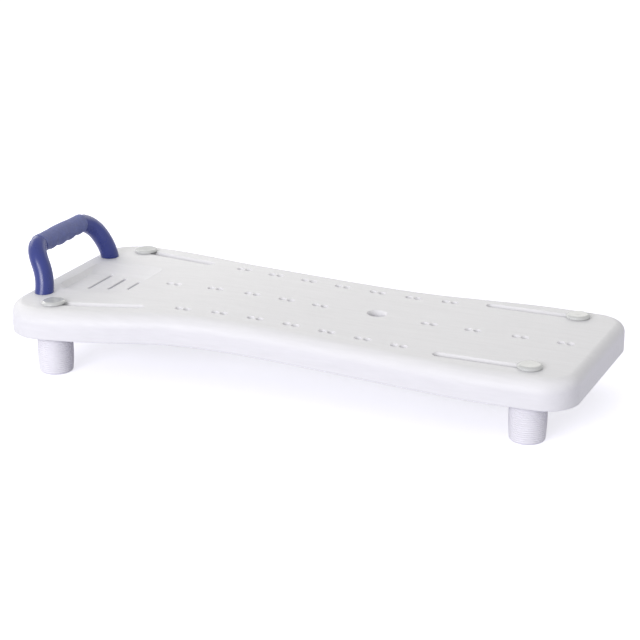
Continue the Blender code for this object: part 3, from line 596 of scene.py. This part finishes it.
def board_hollow():
    """The space under the top plate, less the ribs, rails and bosses that stand in it."""
    ceiling = BOARD_TOP - TOP_PLATE
    rings = [skirt_ring(SKIRT_WALL, FLOOR_TO_BOARD - CUT_ROOM)]
    rings += [board_ring(SKIRT_WALL, ceiling, turn) for turn in spread(0.0, math.pi / 2, TOP_EDGE_STEPS)]
    hollow = loft("hollow", rings)
    half_length = BOARD_LENGTH / 2
    half_width = max(width for _, width in SIDE_STATIONS)
    half_rib = RIB_WIDTH / 2
    solids = []
    for x in CROSS_RIBS_X:
        middle = x + BOARD_SHIFT
        solids.append(box("cross_rib", (middle - half_rib, -half_width, RIB_BOTTOM),
                          (middle + half_rib, half_width, BOARD_TOP)))
    for y in (-LENGTH_RIB_Y, LENGTH_RIB_Y):
        solids.append(box("length_rib", (BOARD_SHIFT - half_length, y - half_rib, RIB_BOTTOM),
                          (BOARD_SHIFT + half_length, y + half_rib, BOARD_TOP)))
    for _, place, angle, _ in corners():
        outline = slot_outline(place, angle, SLOT_WIDTH + 2 * SLOT_RAIL)
        solids.append(loft("rail", [level_ring(outline, RAIL_BOTTOM), level_ring(outline, BOARD_TOP)]))
    for _, place in leg_places():
        solids.append(cylinder("boss", place, BOSS_RADIUS, BOSS_BOTTOM, BOARD_TOP, BOSS_SIDES))
    wall_radius = LARGE_DRAIN_RADIUS + LARGE_DRAIN_WALL
    solids.append(cylinder("drain_wall", shifted(LARGE_DRAIN_PLACE), wall_radius,
                           LARGE_DRAIN_BOTTOM, BOARD_TOP, LARGE_DRAIN_SIDES))
    return combine(hollow, solids)


def board_openings():
    """Cutters for the slots, the drain holes and the handle's screws."""
    below_plate = BOARD_TOP - TOP_PLATE - CUT_ROOM
    tools = []
    for _, place, angle, _ in corners():
        tools.append(flared_cutter("slot", lambda width: slot_outline(place, angle, width), SLOT_WIDTH,
                                   SLOT_FLARE, RAIL_BOTTOM - CUT_ROOM, BOARD_TOP))
    holes = [(place, DRAIN_RADIUS, DRAIN_FLARE, below_plate, DRAIN_SIDES) for place in drain_places()]
    holes.append((shifted(LARGE_DRAIN_PLACE), LARGE_DRAIN_RADIUS, LARGE_DRAIN_FLARE,
                  LARGE_DRAIN_BOTTOM - CUT_ROOM, LARGE_DRAIN_SIDES))
    for place, radius, flare, low, sides in holes:
        tools.append(flared_cutter("drain", lambda width: circle(place, width / 2, sides),
                                   2 * radius, flare, low, BOARD_TOP))
    for _, place in leg_places():
        tools.append(cylinder("screw_hole", place, SCREW_RADIUS + 2 * GAP, BOSS_BOTTOM - CUT_ROOM,
                              BOARD_TOP + CUT_ROOM, SCREW_HOLE_SIDES))
    return tools


def dish_ring(share, grow, floor):
    """A ring on the dish's side: 0 at the floor's edge, 1 at the rim, blended into both."""
    foot = rounded_rectangle(shifted(DISH_FLOOR_CENTRE), DISH_FLOOR_LENGTH + 2 * grow,
                             DISH_FLOOR_WIDTH + 2 * grow, DISH_FLOOR_CORNER + grow)
    rim = rounded_rectangle(shifted(DISH_TOP_CENTRE), DISH_TOP_LENGTH + 2 * grow,
                            DISH_TOP_WIDTH + 2 * grow, DISH_TOP_CORNER + grow)
    if share < DISH_FOOT_BLEND:
        height = (share + DISH_FOOT_BLEND) ** 2 / (4 * DISH_FOOT_BLEND)
    elif share > 1 - DISH_RIM_BLEND:
        height = 1 - (1 + DISH_RIM_BLEND - share) ** 2 / (4 * DISH_RIM_BLEND)
    else:
        height = share
    ring = []
    for (foot_x, foot_y), (rim_x, rim_y) in zip(foot, rim):
        x = foot_x + (rim_x - foot_x) * share
        y = foot_y + (rim_y - foot_y) * share
        ring.append(Vector((x, y, floor + (BOARD_TOP + lift(x) - floor) * height)))
    return ring


def sink_dish(board):
    """Sink the soap dish in the bent board, with its shell below and its drain slots."""
    shell_floor = DISH_FLOOR_TOP - DISH_SHELL
    shell_shares = (-DISH_FOOT_BLEND, 0.0, DISH_SHELL_REACH)
    shell = loft("dish_shell", [dish_ring(share, DISH_SHELL, shell_floor) for share in shell_shares])
    shares = spread(-DISH_FOOT_BLEND, DISH_FOOT_BLEND, DISH_BLEND_STEPS)
    shares += spread(1 - DISH_RIM_BLEND, 1 + DISH_RIM_BLEND, DISH_BLEND_STEPS)
    rings = [dish_ring(share, 0.0, DISH_FLOOR_TOP) for share in shares]
    rings.append([point + Vector((0.0, 0.0, CUT_ROOM)) for point in rings[-1]])
    tools = [loft("dish_hollow", rings)]
    for (x, y), length in DISH_SLOTS:
        reach = length - DISH_SLOT_WIDTH
        start = shifted((x, y - reach / 2))
        tools.append(flared_cutter("dish_slot", lambda width: stadium(start, math.pi / 2, reach, width),
                                   DISH_SLOT_WIDTH, DISH_SLOT_FLARE, shell_floor - CUT_ROOM,
                                   DISH_FLOOR_TOP))
    combine(board, [shell], "UNION")
    return combine(board, tools)


def build_board(material):
    """The moulding is cut while it is flat, then bent, and the dish is sunk in the bent board."""
    board = board_body()
    combine(board, [board_hollow()] + board_openings())
    slice_and_bend(board)
    sink_dish(board)
    dress(smooth(board), "bench", "board", material, "seat_board")


def bar_line(distance):
    """The bar's middle line seen from the end, as (y, height), from its distance off the middle."""
    side = math.copysign(1.0, distance)
    reach = abs(distance)
    if reach <= STRAIGHT_HALF_LENGTH:
        return distance, GRIP_HEIGHT
    angle = min((reach - STRAIGHT_HALF_LENGTH) / CORNER_RADIUS, BEND_ANGLE)
    along_leg = max(reach - LEG_START, 0.0)
    y = STRAIGHT_HALF_LENGTH + CORNER_RADIUS * math.sin(angle) + along_leg * math.cos(angle)
    height = GRIP_HEIGHT - CORNER_RADIUS * (1 - math.cos(angle)) - along_leg * math.sin(angle)
    return side * y, height


def curled_point(distance):
    """A point of the bar's middle line, curled out past the board's end as it rises."""
    y, height = bar_line(distance)
    curl = OUTWARD_REACH * (max(height, 0.0) / GRIP_HEIGHT) ** OUTWARD_POWER
    return Vector((LEG_BASE_X + BOARD_SHIFT - curl, y, BOARD_TOP + height))


def bar_point(distance):
    """The same line, made straight for a short run each way from the grip's ends."""
    past_end = abs(distance) - GRIP_HALF_LENGTH
    if abs(past_end) > SQUARE_RUN:
        return curled_point(distance)
    side = math.copysign(1.0, distance)
    end = curled_point(side * GRIP_HALF_LENGTH)
    before_end = curled_point(side * (GRIP_HALF_LENGTH - SQUARE_RUN))
    return end + (end - before_end) * past_end / SQUARE_RUN


def bar_ring(distance, radius, wave=0.0):
    """A ring of points square to the bar; the wave swells its underside most, its top not at all."""
    along = (bar_point(distance + BAR_PROBE) - bar_point(distance - BAR_PROBE)).normalized()
    outward = Vector((-1.0, 0.0, 0.0))
    outward = (outward - along * outward.dot(along)).normalized()
    under = outward.cross(along)
    ring = []
    for index in range(BAR_SIDES):
        angle = math.tau * index / BAR_SIDES
        reach = radius + wave * (1 + math.sin(angle)) / 2
        ring.append(bar_point(distance) + (outward * math.cos(angle) + under * math.sin(angle)) * reach)
    return ring


def build_handle(material):
    """The bar with its thin core under the grip; each leg is trimmed flat on the board."""
    bend_end = GRIP_HALF_LENGTH + SQUARE_RUN
    leg = spread(LEG_END, bend_end, round((LEG_END - bend_end) / BAR_STEP)) + [GRIP_HALF_LENGTH]
    core = [GRIP_HALF_LENGTH - SHOULDER] + spread(GRIP_HALF_LENGTH - SQUARE_RUN, 0.0, GRIP_CORE_STEPS)
    half = [(distance, BAR_RADIUS) for distance in leg]
    half += [(distance, GRIP_CORE_RADIUS) for distance in core]
    whole = half + [(-distance, radius) for distance, radius in reversed(half[:-1])]
    handle = loft("handle_bar", [bar_ring(distance, radius) for distance, radius in whole])
    leg_bottom = BOARD_TOP + GAP
    base_x = LEG_BASE_X + BOARD_SHIFT
    reach = 2 * BAR_RADIUS
    tools = [box("leg_trim", (base_x - reach, -LEG_BASE_Y - reach, leg_bottom - reach),
                 (base_x + reach, LEG_BASE_Y + reach, leg_bottom))]
    for _, place in leg_places():
        tools.append(cylinder("leg_hole", place, SCREW_RADIUS + GAP, leg_bottom - reach,
                              leg_bottom + LEG_HOLE_DEPTH, SCREW_HOLE_SIDES))
    combine(handle, tools)
    round_edges(handle, LEG_BASE_EDGE, LEG_BASE_EDGE_SEGMENTS, LEG_BASE_EDGE_ANGLE)
    dress(smooth(handle), "bench", "handle", material, "grab_handle")


def grip_ring(distance, edge=0.0):
    """The grip swells in the middle and at its lips, and its underside waves round the fingers."""
    swell = GRIP_SWELL * math.cos(math.tau * distance / GRIP_SWELL_PITCH)
    fade = min(max((FINGER_END - abs(distance)) / FINGER_FADE, 0.0), 1.0)
    wave = -FINGER_WAVE * fade * math.cos(math.tau * (distance - FINGER_SHIFT) / FINGER_PITCH)
    return bar_ring(distance, GRIP_RADIUS + swell - edge, wave)


def build_grip(material):
    """The soft sleeve round the bar's core, with a rounded lip at each end."""
    end = GRIP_HALF_LENGTH - SHOULDER - GAP
    lip = []
    for turn in spread(0.0, math.pi / 2, GRIP_EDGE_STEPS):
        lip.append((end - GRIP_EDGE * (1 - math.cos(turn)), GRIP_EDGE * (1 - math.sin(turn))))
    inner = GRIP_HALF_LENGTH - SQUARE_RUN
    rings = [grip_ring(-distance, edge) for distance, edge in lip]
    rings += [grip_ring(distance) for distance in spread(-inner, inner, GRIP_STEPS)]
    rings += [grip_ring(distance, edge) for distance, edge in reversed(lip)]
    grip = loft("soft_grip", rings)
    line = [-GRIP_HALF_LENGTH] + spread(-inner, inner, GRIP_BORE_STEPS) + [GRIP_HALF_LENGTH]
    bore = loft("grip_bore", [bar_ring(distance, GRIP_CORE_RADIUS + GAP) for distance in line])
    combine(grip, [bore])
    dress(smooth(grip), "bench", "grip", material, "handle_grip")


def tilt(item, place, slope, above):
    """Slide a piece's points above a height up or down, to lie flat on the sloping board."""
    for vert in item.data.vertices:
        if vert.co.z > above:
            vert.co.z += slope * (vert.co.x - place[0])
    return item


def threaded(radius, depth, pitch, top, bottom):
    """A thread's outline as (radius, height) points down from the top: crest and root in turn."""
    points = []
    height = top
    while height > bottom + pitch:
        points.append((radius, height))
        points.append((radius - depth, height - pitch / 2))
        height -= pitch
    return points


def build_screw_washer(side, place, top, material):
    bottom = top - SCREW_WASHER_THICKNESS
    bore = SCREW_RADIUS + GAP
    edge = SCREW_WASHER_EDGE
    ring = [(bore, bottom), (bore, top), (SCREW_WASHER_RADIUS - edge, top),
            (SCREW_WASHER_RADIUS, top - edge), (SCREW_WASHER_RADIUS, bottom + edge),
            (SCREW_WASHER_RADIUS - edge, bottom), (bore, bottom)]
    washer = turned("screw_washer_" + side, ring, place, SCREW_WASHER_SIDES)
    dress(smooth(washer), "bench", "steel", material, "handle_washer_" + side)


def cross_cutter(place, height):
    """Two crossed bars that cut the screwdriver's slot into a head's face."""
    bars = []
    for half_x, half_y in ((CROSS_SLOT_LENGTH / 2, CROSS_SLOT_WIDTH / 2),
                           (CROSS_SLOT_WIDTH / 2, CROSS_SLOT_LENGTH / 2)):
        bars.append(box("cross_slot", (place[0] - half_x, place[1] - half_y, height - CROSS_SLOT_DEPTH),
                        (place[0] + half_x, place[1] + half_y, height + CROSS_SLOT_DEPTH)))
    return combine(bars[0], [bars[1]], "UNION")


def build_handle_screw(side, place, head_top, material):
    """A pan head screw that points up into the handle's leg."""
    head_bottom = head_top - SCREW_HEAD_HEIGHT
    tip = head_top + SCREW_LENGTH
    shoulder = tip - SCREW_POINT
    profile = [(0.0, tip), (SCREW_RADIUS, shoulder)]
    profile += threaded(SCREW_RADIUS, SCREW_THREAD, SCREW_PITCH, shoulder - SCREW_PITCH / 2, head_top)
    profile += [(SCREW_RADIUS, head_top), (SCREW_HEAD_RADIUS, head_top)]
    edge_centre = (SCREW_HEAD_RADIUS - SCREW_HEAD_EDGE, head_bottom + SCREW_HEAD_EDGE)
    profile += arc(edge_centre, SCREW_HEAD_EDGE, 0.0, -math.pi / 2, SCREW_HEAD_EDGE_STEPS)
    profile += [(0.0, head_bottom)]
    screw = turned("pan_head_screw_" + side, profile, place, SCREW_SIDES)
    combine(screw, [cross_cutter(place, head_bottom)])
    dress(smooth(screw), "bench", "steel", material, "handle_screw_" + side)


def build_handle_fixings(material):
    for side, place in leg_places():
        washer_top = BOSS_BOTTOM - GAP
        build_screw_washer(side, place, washer_top, material)
        build_handle_screw(side, place, washer_top - SCREW_WASHER_THICKNESS - GAP, material)


def build_cap(name, place, slope, material):
    """A low dome with a shallow dimple, undercut where it meets the board."""
    under = BOARD_TOP + lift(place[0]) + GAP
    top = under + CAP_HEIGHT
    pocket_radius = BOLT_HEAD_RADIUS + GAP
    pocket_top = under + CAP_POCKET_DEPTH
    profile = [(0.0, top - CAP_DIMPLE)]
    for share in CAP_DIMPLE_STATIONS:
        dip = CAP_DIMPLE * (1 - share / CAP_DIMPLE_STATIONS[-1]) ** 2
        profile.append((CAP_RADIUS * share, top - dip))
    reach = CAP_RADIUS * CAP_EDGE_REACH
    edge_bottom = under + CAP_UNDERCUT + CAP_WALL_HEIGHT
    profile += arc_ellipse((CAP_RADIUS - reach, edge_bottom), reach, top - edge_bottom,
                           math.pi / 2, 0.0, CAP_EDGE_STEPS)[1:]
    profile += [(CAP_RADIUS - CAP_DRAFT, under + CAP_UNDERCUT),
                (CAP_RADIUS - CAP_UNDERCUT, under + CAP_FOOT_HEIGHT),
                (CAP_RADIUS - CAP_UNDERCUT, under), (pocket_radius, under),
                (pocket_radius, pocket_top), (0.0, pocket_top)]
    cap = tilt(turned("slot_cap_" + name, profile, place), place, slope, FLOOR_TO_BOARD)
    dress(smooth(cap), name + "_carriage", "cap", material, "head_cap_" + name)


def build_bolt(name, place, angle, slope, material):
    """A flat-headed bolt with a square neck and a thread down to its tip."""
    under = BOARD_TOP + lift(place[0]) + GAP
    head_top = under + BOLT_HEAD_HEIGHT
    thread_top = under - BOLT_NECK_DEPTH - 2 * BOLT_PITCH
    profile = [(0.0, head_top), (BOLT_HEAD_RADIUS - BOLT_EDGE, head_top),
               (BOLT_HEAD_RADIUS - BOLT_EDGE / 3, head_top - BOLT_EDGE / 3),
               (BOLT_HEAD_RADIUS, head_top - BOLT_EDGE), (BOLT_HEAD_RADIUS, under), (BOLT_RADIUS, under)]
    profile += threaded(BOLT_RADIUS, BOLT_THREAD, BOLT_PITCH, thread_top, BOLT_TIP)
    profile += [(BOLT_RADIUS - BOLT_EDGE, BOLT_TIP), (0.0, BOLT_TIP)]
    bolt = turned("carriage_bolt_" + name, profile, place, BOLT_SIDES)
    half = BOLT_NECK_WIDTH / 2
    neck = box("neck", (-half, -half, under - BOLT_NECK_DEPTH), (half, half, head_top - BOLT_EDGE))
    neck.data.transform(Matrix.Translation((place[0], place[1], 0.0)) @ Matrix.Rotation(angle, 4, "Z"))
    combine(bolt, [neck], "UNION")
    tilt(bolt, place, slope, BOARD_TOP - GAP)
    dress(smooth(bolt), name + "_carriage", "steel", material, "clamp_bolt_" + name)


def build_washer(name, place, angle, slope, material):
    """A broad washer with a lug that the bolt's hole splits in two, to keep it straight in the slot."""
    top = RAIL_BOTTOM + lift(place[0]) - GAP
    flat_radius = WASHER_RADIUS - WASHER_EDGE
    profile = [(0.0, top), (flat_radius, top), (WASHER_RADIUS, top - WASHER_EDGE),
               (WASHER_RADIUS, WASHER_BOTTOM + WASHER_EDGE), (flat_radius, WASHER_BOTTOM),
               (0.0, WASHER_BOTTOM)]
    washer = turned("clamp_washer_" + name, profile, place)
    start = (place[0] - SLOT_END_ROOM * math.cos(angle), place[1] - SLOT_END_ROOM * math.sin(angle))
    outline = stadium(start, angle, 2 * SLOT_END_ROOM, SLOT_WIDTH - 2 * GAP)
    lug = loft("lug", [level_ring(outline, top - GAP), level_ring(outline, top + WASHER_LUG_HEIGHT)])
    combine(washer, [lug], "UNION")
    combine(washer, [cylinder("bore", place, BOLT_RADIUS + GAP, 0.0, BOARD_TOP, BOLT_SIDES)])
    tilt(washer, place, slope, WASHER_BOTTOM + WASHER_EDGE + GAP)
    dress(smooth(washer), name + "_washer", "washer", material, "slide_washer_" + name)


def sleeve_radius(height):
    """The barrel shape of the sleeve, widest a little above the middle of its height."""
    share = (height - SLEEVE_WIDEST) / SLEEVE_WIDEST
    return SLEEVE_RADIUS - SLEEVE_BARREL * share ** 2


def sleeve_profile():
    """Up the inside of the sleeve's cup, over its rim and down its round-crested ribs."""
    inner = CORE_RADIUS + GAP
    top = FOOT_TOP - GAP
    profile = [(0.0, SLEEVE_FLOOR), (inner, SLEEVE_FLOOR), (inner, top),
               (sleeve_radius(top) - SLEEVE_GROOVE, top)]
    pitch = (top - SLEEVE_EDGE) / SLEEVE_RIBS
    steps = SLEEVE_RIB_STEPS * SLEEVE_RIBS
    for step in range(1, steps):
        height = top - (top - SLEEVE_EDGE) * step / steps
        phase = math.tau * (top - height) / pitch
        groove = SLEEVE_GROOVE * (0.5 - 0.5 * math.sin(phase)) ** SLEEVE_GROOVE_POWER
        profile.append((sleeve_radius(height) - groove, height))
    edge_centre = (sleeve_radius(SLEEVE_EDGE) - SLEEVE_EDGE_REACH, SLEEVE_EDGE)
    profile += arc_ellipse(edge_centre, SLEEVE_EDGE_REACH, SLEEVE_EDGE, 0.0, -math.pi / 2, SLEEVE_EDGE_STEPS)
    profile.append((0.0, 0.0))
    return profile


def build_feet(white, steel, rubber):
    """Fine sleeves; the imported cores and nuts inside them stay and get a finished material."""
    for name, place, _, _ in corners():
        sleeve = turned("ribbed_foot_" + name, sleeve_profile(), place)
        dress(smooth(sleeve, SLEEVE_SHARP_ANGLE), name + "_foot", "sleeve", rubber, "foot_sleeve_" + name)
        set_material("foot_core_" + name, white)
        set_material("foot_nut_" + name, steel)


def set_material(node, material):
    """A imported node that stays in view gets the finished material."""
    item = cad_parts[node]
    for slot in item.material_slots:
        slot.material = material


class Shader:
    """Builds one Principled material, node by node."""

    def __init__(self, name):
        self.material = bpy.data.materials.new(name)
        self.material.use_nodes = True
        self.tree = self.material.node_tree
        self.principled = self.tree.nodes["Principled BSDF"]
        self.place = self.add("TexCoord").outputs["Object"]

    def add(self, kind, **settings):
        node = self.tree.nodes.new("ShaderNode" + kind)
        for name, value in settings.items():
            setattr(node, name, value)
        return node

    def join(self, node, socket, value):
        """Set an input, by name or number, to a value, or link it to another node's output."""
        target = node.inputs[socket]
        if isinstance(value, bpy.types.NodeSocket):
            self.tree.links.new(value, target)
        else:
            target.default_value = value
        return node

    def set(self, socket, value):
        self.join(self.principled, socket, value)

    def noise(self, scale, detail=3.0, roughness=0.5, stretch=(1.0, 1.0, 1.0)):
        """Noise over the piece; the scale is in waves per metre, squeezed along each axis."""
        mapping = self.add("Mapping")
        self.join(mapping, "Vector", self.place)
        self.join(mapping, "Scale", stretch)
        texture = self.add("TexNoise")
        self.join(texture, "Vector", mapping.outputs["Vector"])
        self.join(texture, "Scale", scale)
        self.join(texture, "Detail", detail)
        self.join(texture, "Roughness", roughness)
        return texture.outputs["Fac"]

    def remap(self, value, low, high, from_low=0.3, from_high=0.7):
        node = self.add("MapRange")
        self.join(node, "Value", value)
        self.join(node, "From Min", from_low)
        self.join(node, "From Max", from_high)
        self.join(node, "To Min", low)
        self.join(node, "To Max", high)
        return node.outputs["Result"]

    def math(self, operation, first, second):
        node = self.add("Math", operation=operation)
        self.join(node, 0, first)
        self.join(node, 1, second)
        return node.outputs["Value"]

    def tint(self, colour, value, spread_by):
        """The colour, made darker or lighter by a factor that follows the value."""
        low = tuple(part * (1 - spread_by) for part in colour) + (1.0,)
        high = tuple(min(part * (1 + spread_by), 1.0) for part in colour) + (1.0,)
        node = self.add("Mix", data_type="RGBA")
        self.join(node, "Factor", self.remap(value, 0.0, 1.0))
        self.join(node, 6, low)
        self.join(node, 7, high)
        return node.outputs[2]

    def bump(self, height, strength, distance):
        node = self.add("Bump")
        self.join(node, "Height", height)
        self.join(node, "Strength", strength)
        self.join(node, "Distance", distance)
        self.set("Normal", node.outputs["Normal"])


def upward_mask(shader):
    """1 on faces that look up, 0 on upright and overhanging ones."""
    normal = shader.add("NewGeometry").outputs["Normal"]
    split = shader.add("SeparateXYZ")
    shader.join(split, "Vector", normal)
    return shader.remap(split.outputs["Z"], 0.0, 1.0, from_low=0.80, from_high=0.97)


def board_material():
    """White moulded plastic: satin sides and a finely grained, streaked deck."""
    shader = Shader("board_plastic")
    deck = upward_mask(shader)
    grain = shader.noise(scale=900.0, detail=4.0, roughness=0.6, stretch=(0.45, 1.0, 1.0))
    streak = shader.noise(scale=190.0, detail=3.0, roughness=0.6, stretch=(0.12, 1.0, 1.0))
    fine = shader.noise(scale=2600.0, detail=2.0)
    shader.set("Base Color", shader.tint(BOARD_WHITE, streak, spread_by=0.022))
    shader.set("Roughness", shader.remap(grain, 0.42, 0.55))
    shader.set("Specular IOR Level", 0.32)
    deck_grain = shader.math("MULTIPLY", grain, deck)
    deck_streak = shader.math("MULTIPLY", streak, deck)
    fine_share = 0.12
    streak_share = 1.5
    height = shader.math("ADD", deck_grain, shader.math("MULTIPLY", fine, fine_share))
    height = shader.math("ADD", height, shader.math("MULTIPLY", deck_streak, streak_share))
    shader.bump(height, strength=0.35, distance=0.0003)
    return shader.material


def gloss_plastic(name, colour, roughness, specular, grain_scale):
    """Smooth moulded plastic with a faint orange peel and small changes of gloss."""
    shader = Shader(name)
    peel = shader.noise(scale=grain_scale, detail=2.0)
    cloud = shader.noise(scale=60.0, detail=4.0, roughness=0.6)
    shader.set("Base Color", shader.tint(colour, cloud, spread_by=0.05))
    shader.set("Roughness", shader.remap(cloud, roughness * 0.85, roughness * 1.2))
    shader.set("Specular IOR Level", specular)
    shader.bump(peel, strength=0.03, distance=0.0002)
    return shader.material


def grip_material():
    """Soft rubber with a close leathery grain."""
    shader = Shader("grip_rubber")
    cells = shader.add("TexVoronoi", feature="F1")
    shader.join(cells, "Vector", shader.place)
    shader.join(cells, "Scale", 620.0)
    cloud = shader.noise(scale=140.0, detail=4.0, roughness=0.65)
    fine = shader.noise(scale=2200.0, detail=3.0, roughness=0.6)
    shader.set("Base Color", shader.tint(GRIP_BLUE, cloud, spread_by=0.16))
    shader.set("Roughness", shader.remap(cloud, 0.55, 0.75))
    cell_share = 0.8
    height = shader.math("ADD", shader.math("MULTIPLY", cells.outputs["Distance"], cell_share), fine)
    shader.bump(height, strength=0.8, distance=0.0004)
    return shader.material


def rubber_material():
    """Matt off-white rubber, finely roughened."""
    shader = Shader("foot_rubber")
    cloud = shader.noise(scale=80.0, detail=4.0, roughness=0.6)
    fine = shader.noise(scale=1800.0, detail=3.0, roughness=0.6)
    shader.set("Base Color", shader.tint(RUBBER_WHITE, cloud, spread_by=0.02))
    shader.set("Roughness", shader.remap(cloud, 0.55, 0.70))
    shader.bump(fine, strength=0.25, distance=0.0002)
    return shader.material


def steel_material():
    """Turned stainless steel, with fine rings of brushing."""
    shader = Shader("stainless_steel")
    brushed = shader.noise(scale=500.0, detail=4.0, roughness=0.6, stretch=(1.0, 1.0, 14.0))
    shader.set("Base Color", shader.tint(STEEL_GREY, brushed, spread_by=0.06))
    shader.set("Metallic", 1.0)
    shader.set("Roughness", shader.remap(brushed, 0.24, 0.40))
    shader.bump(brushed, strength=0.15, distance=0.0001)
    return shader.material


def add_camera():
    """The camera at the photograph's angle; its lens axis passes close by the board's middle."""
    back = Vector((math.sin(CAMERA_AZIMUTH) * math.cos(CAMERA_ELEVATION),
                   -math.cos(CAMERA_AZIMUTH) * math.cos(CAMERA_ELEVATION), math.sin(CAMERA_ELEVATION)))
    right = Vector((math.cos(CAMERA_AZIMUTH), math.sin(CAMERA_AZIMUTH), 0.0))
    up = back.cross(right)
    data = bpy.data.cameras.new("camera")
    data.lens = CAMERA_LENS
    data.sensor_width = CAMERA_SENSOR
    data.clip_end = CAMERA_CLIP_END
    camera = bpy.data.objects.new("camera", data)
    aim = Vector((BOARD_SHIFT + AIM_X, 0.0, BOARD_TOP)) + right * AIM_RIGHT + up * AIM_UP
    place = aim + back * CAMERA_DISTANCE
    camera.matrix_world = Matrix((
        (right.x, up.x, back.x, place.x),
        (right.y, up.y, back.y, place.y),
        (right.z, up.z, back.z, place.z),
        (0.0, 0.0, 0.0, 1.0)))
    bpy.context.scene.collection.objects.link(camera)
    bpy.context.scene.camera = camera


def add_area(name, place, target, size, power, colour):
    """A soft rectangular lamp that lights the object and isn't seen itself."""
    data = bpy.data.lights.new(name, "AREA")
    data.shape = "RECTANGLE"
    data.size = size[0]
    data.size_y = size[1]
    data.energy = power
    data.color = colour
    lamp = bpy.data.objects.new(name, data)
    lamp.visible_camera = False
    lamp.location = place
    lamp.rotation_euler = (Vector(target) - Vector(place)).to_track_quat("-Z", "Y").to_euler()
    bpy.context.scene.collection.objects.link(lamp)


def add_world():
    """White where the camera or a reflection sees it, and a softer pale light on the object."""
    world = bpy.data.worlds.new("studio")
    bpy.context.scene.world = world
    world.use_nodes = True
    tree = world.node_tree
    background = tree.nodes["Background"]
    background.inputs["Color"].default_value = WORLD_LIGHT
    background.inputs["Strength"].default_value = WORLD_STRENGTH
    white = tree.nodes.new("ShaderNodeBackground")
    white.inputs["Color"].default_value = FULL_WHITE
    white.inputs["Strength"].default_value = 1.0
    mix = tree.nodes.new("ShaderNodeMixShader")
    tree.links.new(seen_ray(tree), mix.inputs["Fac"])
    tree.links.new(background.outputs["Background"], mix.inputs[1])
    tree.links.new(white.outputs["Background"], mix.inputs[2])
    tree.links.new(mix.outputs["Shader"], tree.nodes["World Output"].inputs["Surface"])


def seen_ray(tree):
    """1 for rays that come from the camera, a reflection or a transparent piece."""
    path = tree.nodes.new("ShaderNodeLightPath")
    value = path.outputs["Is Camera Ray"]
    for name in ("Is Glossy Ray", "Is Transmission Ray"):
        node = tree.nodes.new("ShaderNodeMath")
        node.operation = "MAXIMUM"
        tree.links.new(value, node.inputs[0])
        tree.links.new(path.outputs[name], node.inputs[1])
        value = node.outputs["Value"]
    return value


def floor_material():
    """A pale floor that is seen as white, keeps the object's soft shadow and is clear from below."""
    shader = Shader("studio_floor")
    cloud = shader.noise(scale=3.0, detail=2.0)
    shader.set("Base Color", shader.tint(FLOOR_TINT, cloud, spread_by=0.004))
    shader.set("Roughness", 0.95)
    shader.set("Specular IOR Level", 0.0)
    tree = shader.tree
    shader.set("Emission Color", FULL_WHITE)
    shader.set("Emission Strength", shader.math("MULTIPLY", seen_ray(tree), FLOOR_GLOW))
    clear = shader.add("BsdfTransparent")
    mix = shader.add("MixShader")
    shader.join(mix, "Fac", shader.add("NewGeometry").outputs["Backfacing"])
    shader.join(mix, 1, shader.principled.outputs["BSDF"])
    shader.join(mix, 2, clear.outputs["BSDF"])
    tree.links.new(mix.outputs["Shader"], tree.nodes["Material Output"].inputs["Surface"])
    return shader.material


def add_floor():
    bm = bmesh.new()
    bmesh.ops.create_grid(bm, x_segments=1, y_segments=1, size=FLOOR_SIZE / 2)
    floor = new_object("floor", bm)
    floor.data.materials.append(floor_material())


def build_object():
    white = board_material()
    cap = gloss_plastic("cap_plastic", CAP_GREY, roughness=0.10, specular=0.5, grain_scale=500.0)
    blue = gloss_plastic("handle_plastic", HANDLE_BLUE, roughness=0.29, specular=0.5, grain_scale=700.0)
    steel = steel_material()
    build_board(white)
    build_handle(blue)
    build_grip(grip_material())
    build_handle_fixings(steel)
    for name, place, angle, slope in corners():
        build_cap(name, place, slope, cap)
        build_bolt(name, place, angle, slope, steel)
        build_washer(name, place, angle, slope, white)
    build_feet(white, steel, rubber_material())


def build_studio():
    bpy.context.scene.view_settings.view_transform = "Standard"
    add_camera()
    add_world()
    add_area("front_light", **FRONT_LIGHT)
    add_area("back_light", **BACK_LIGHT)
    add_area("side_light", **SIDE_LIGHT)
    add_floor()


build_object()
build_studio()
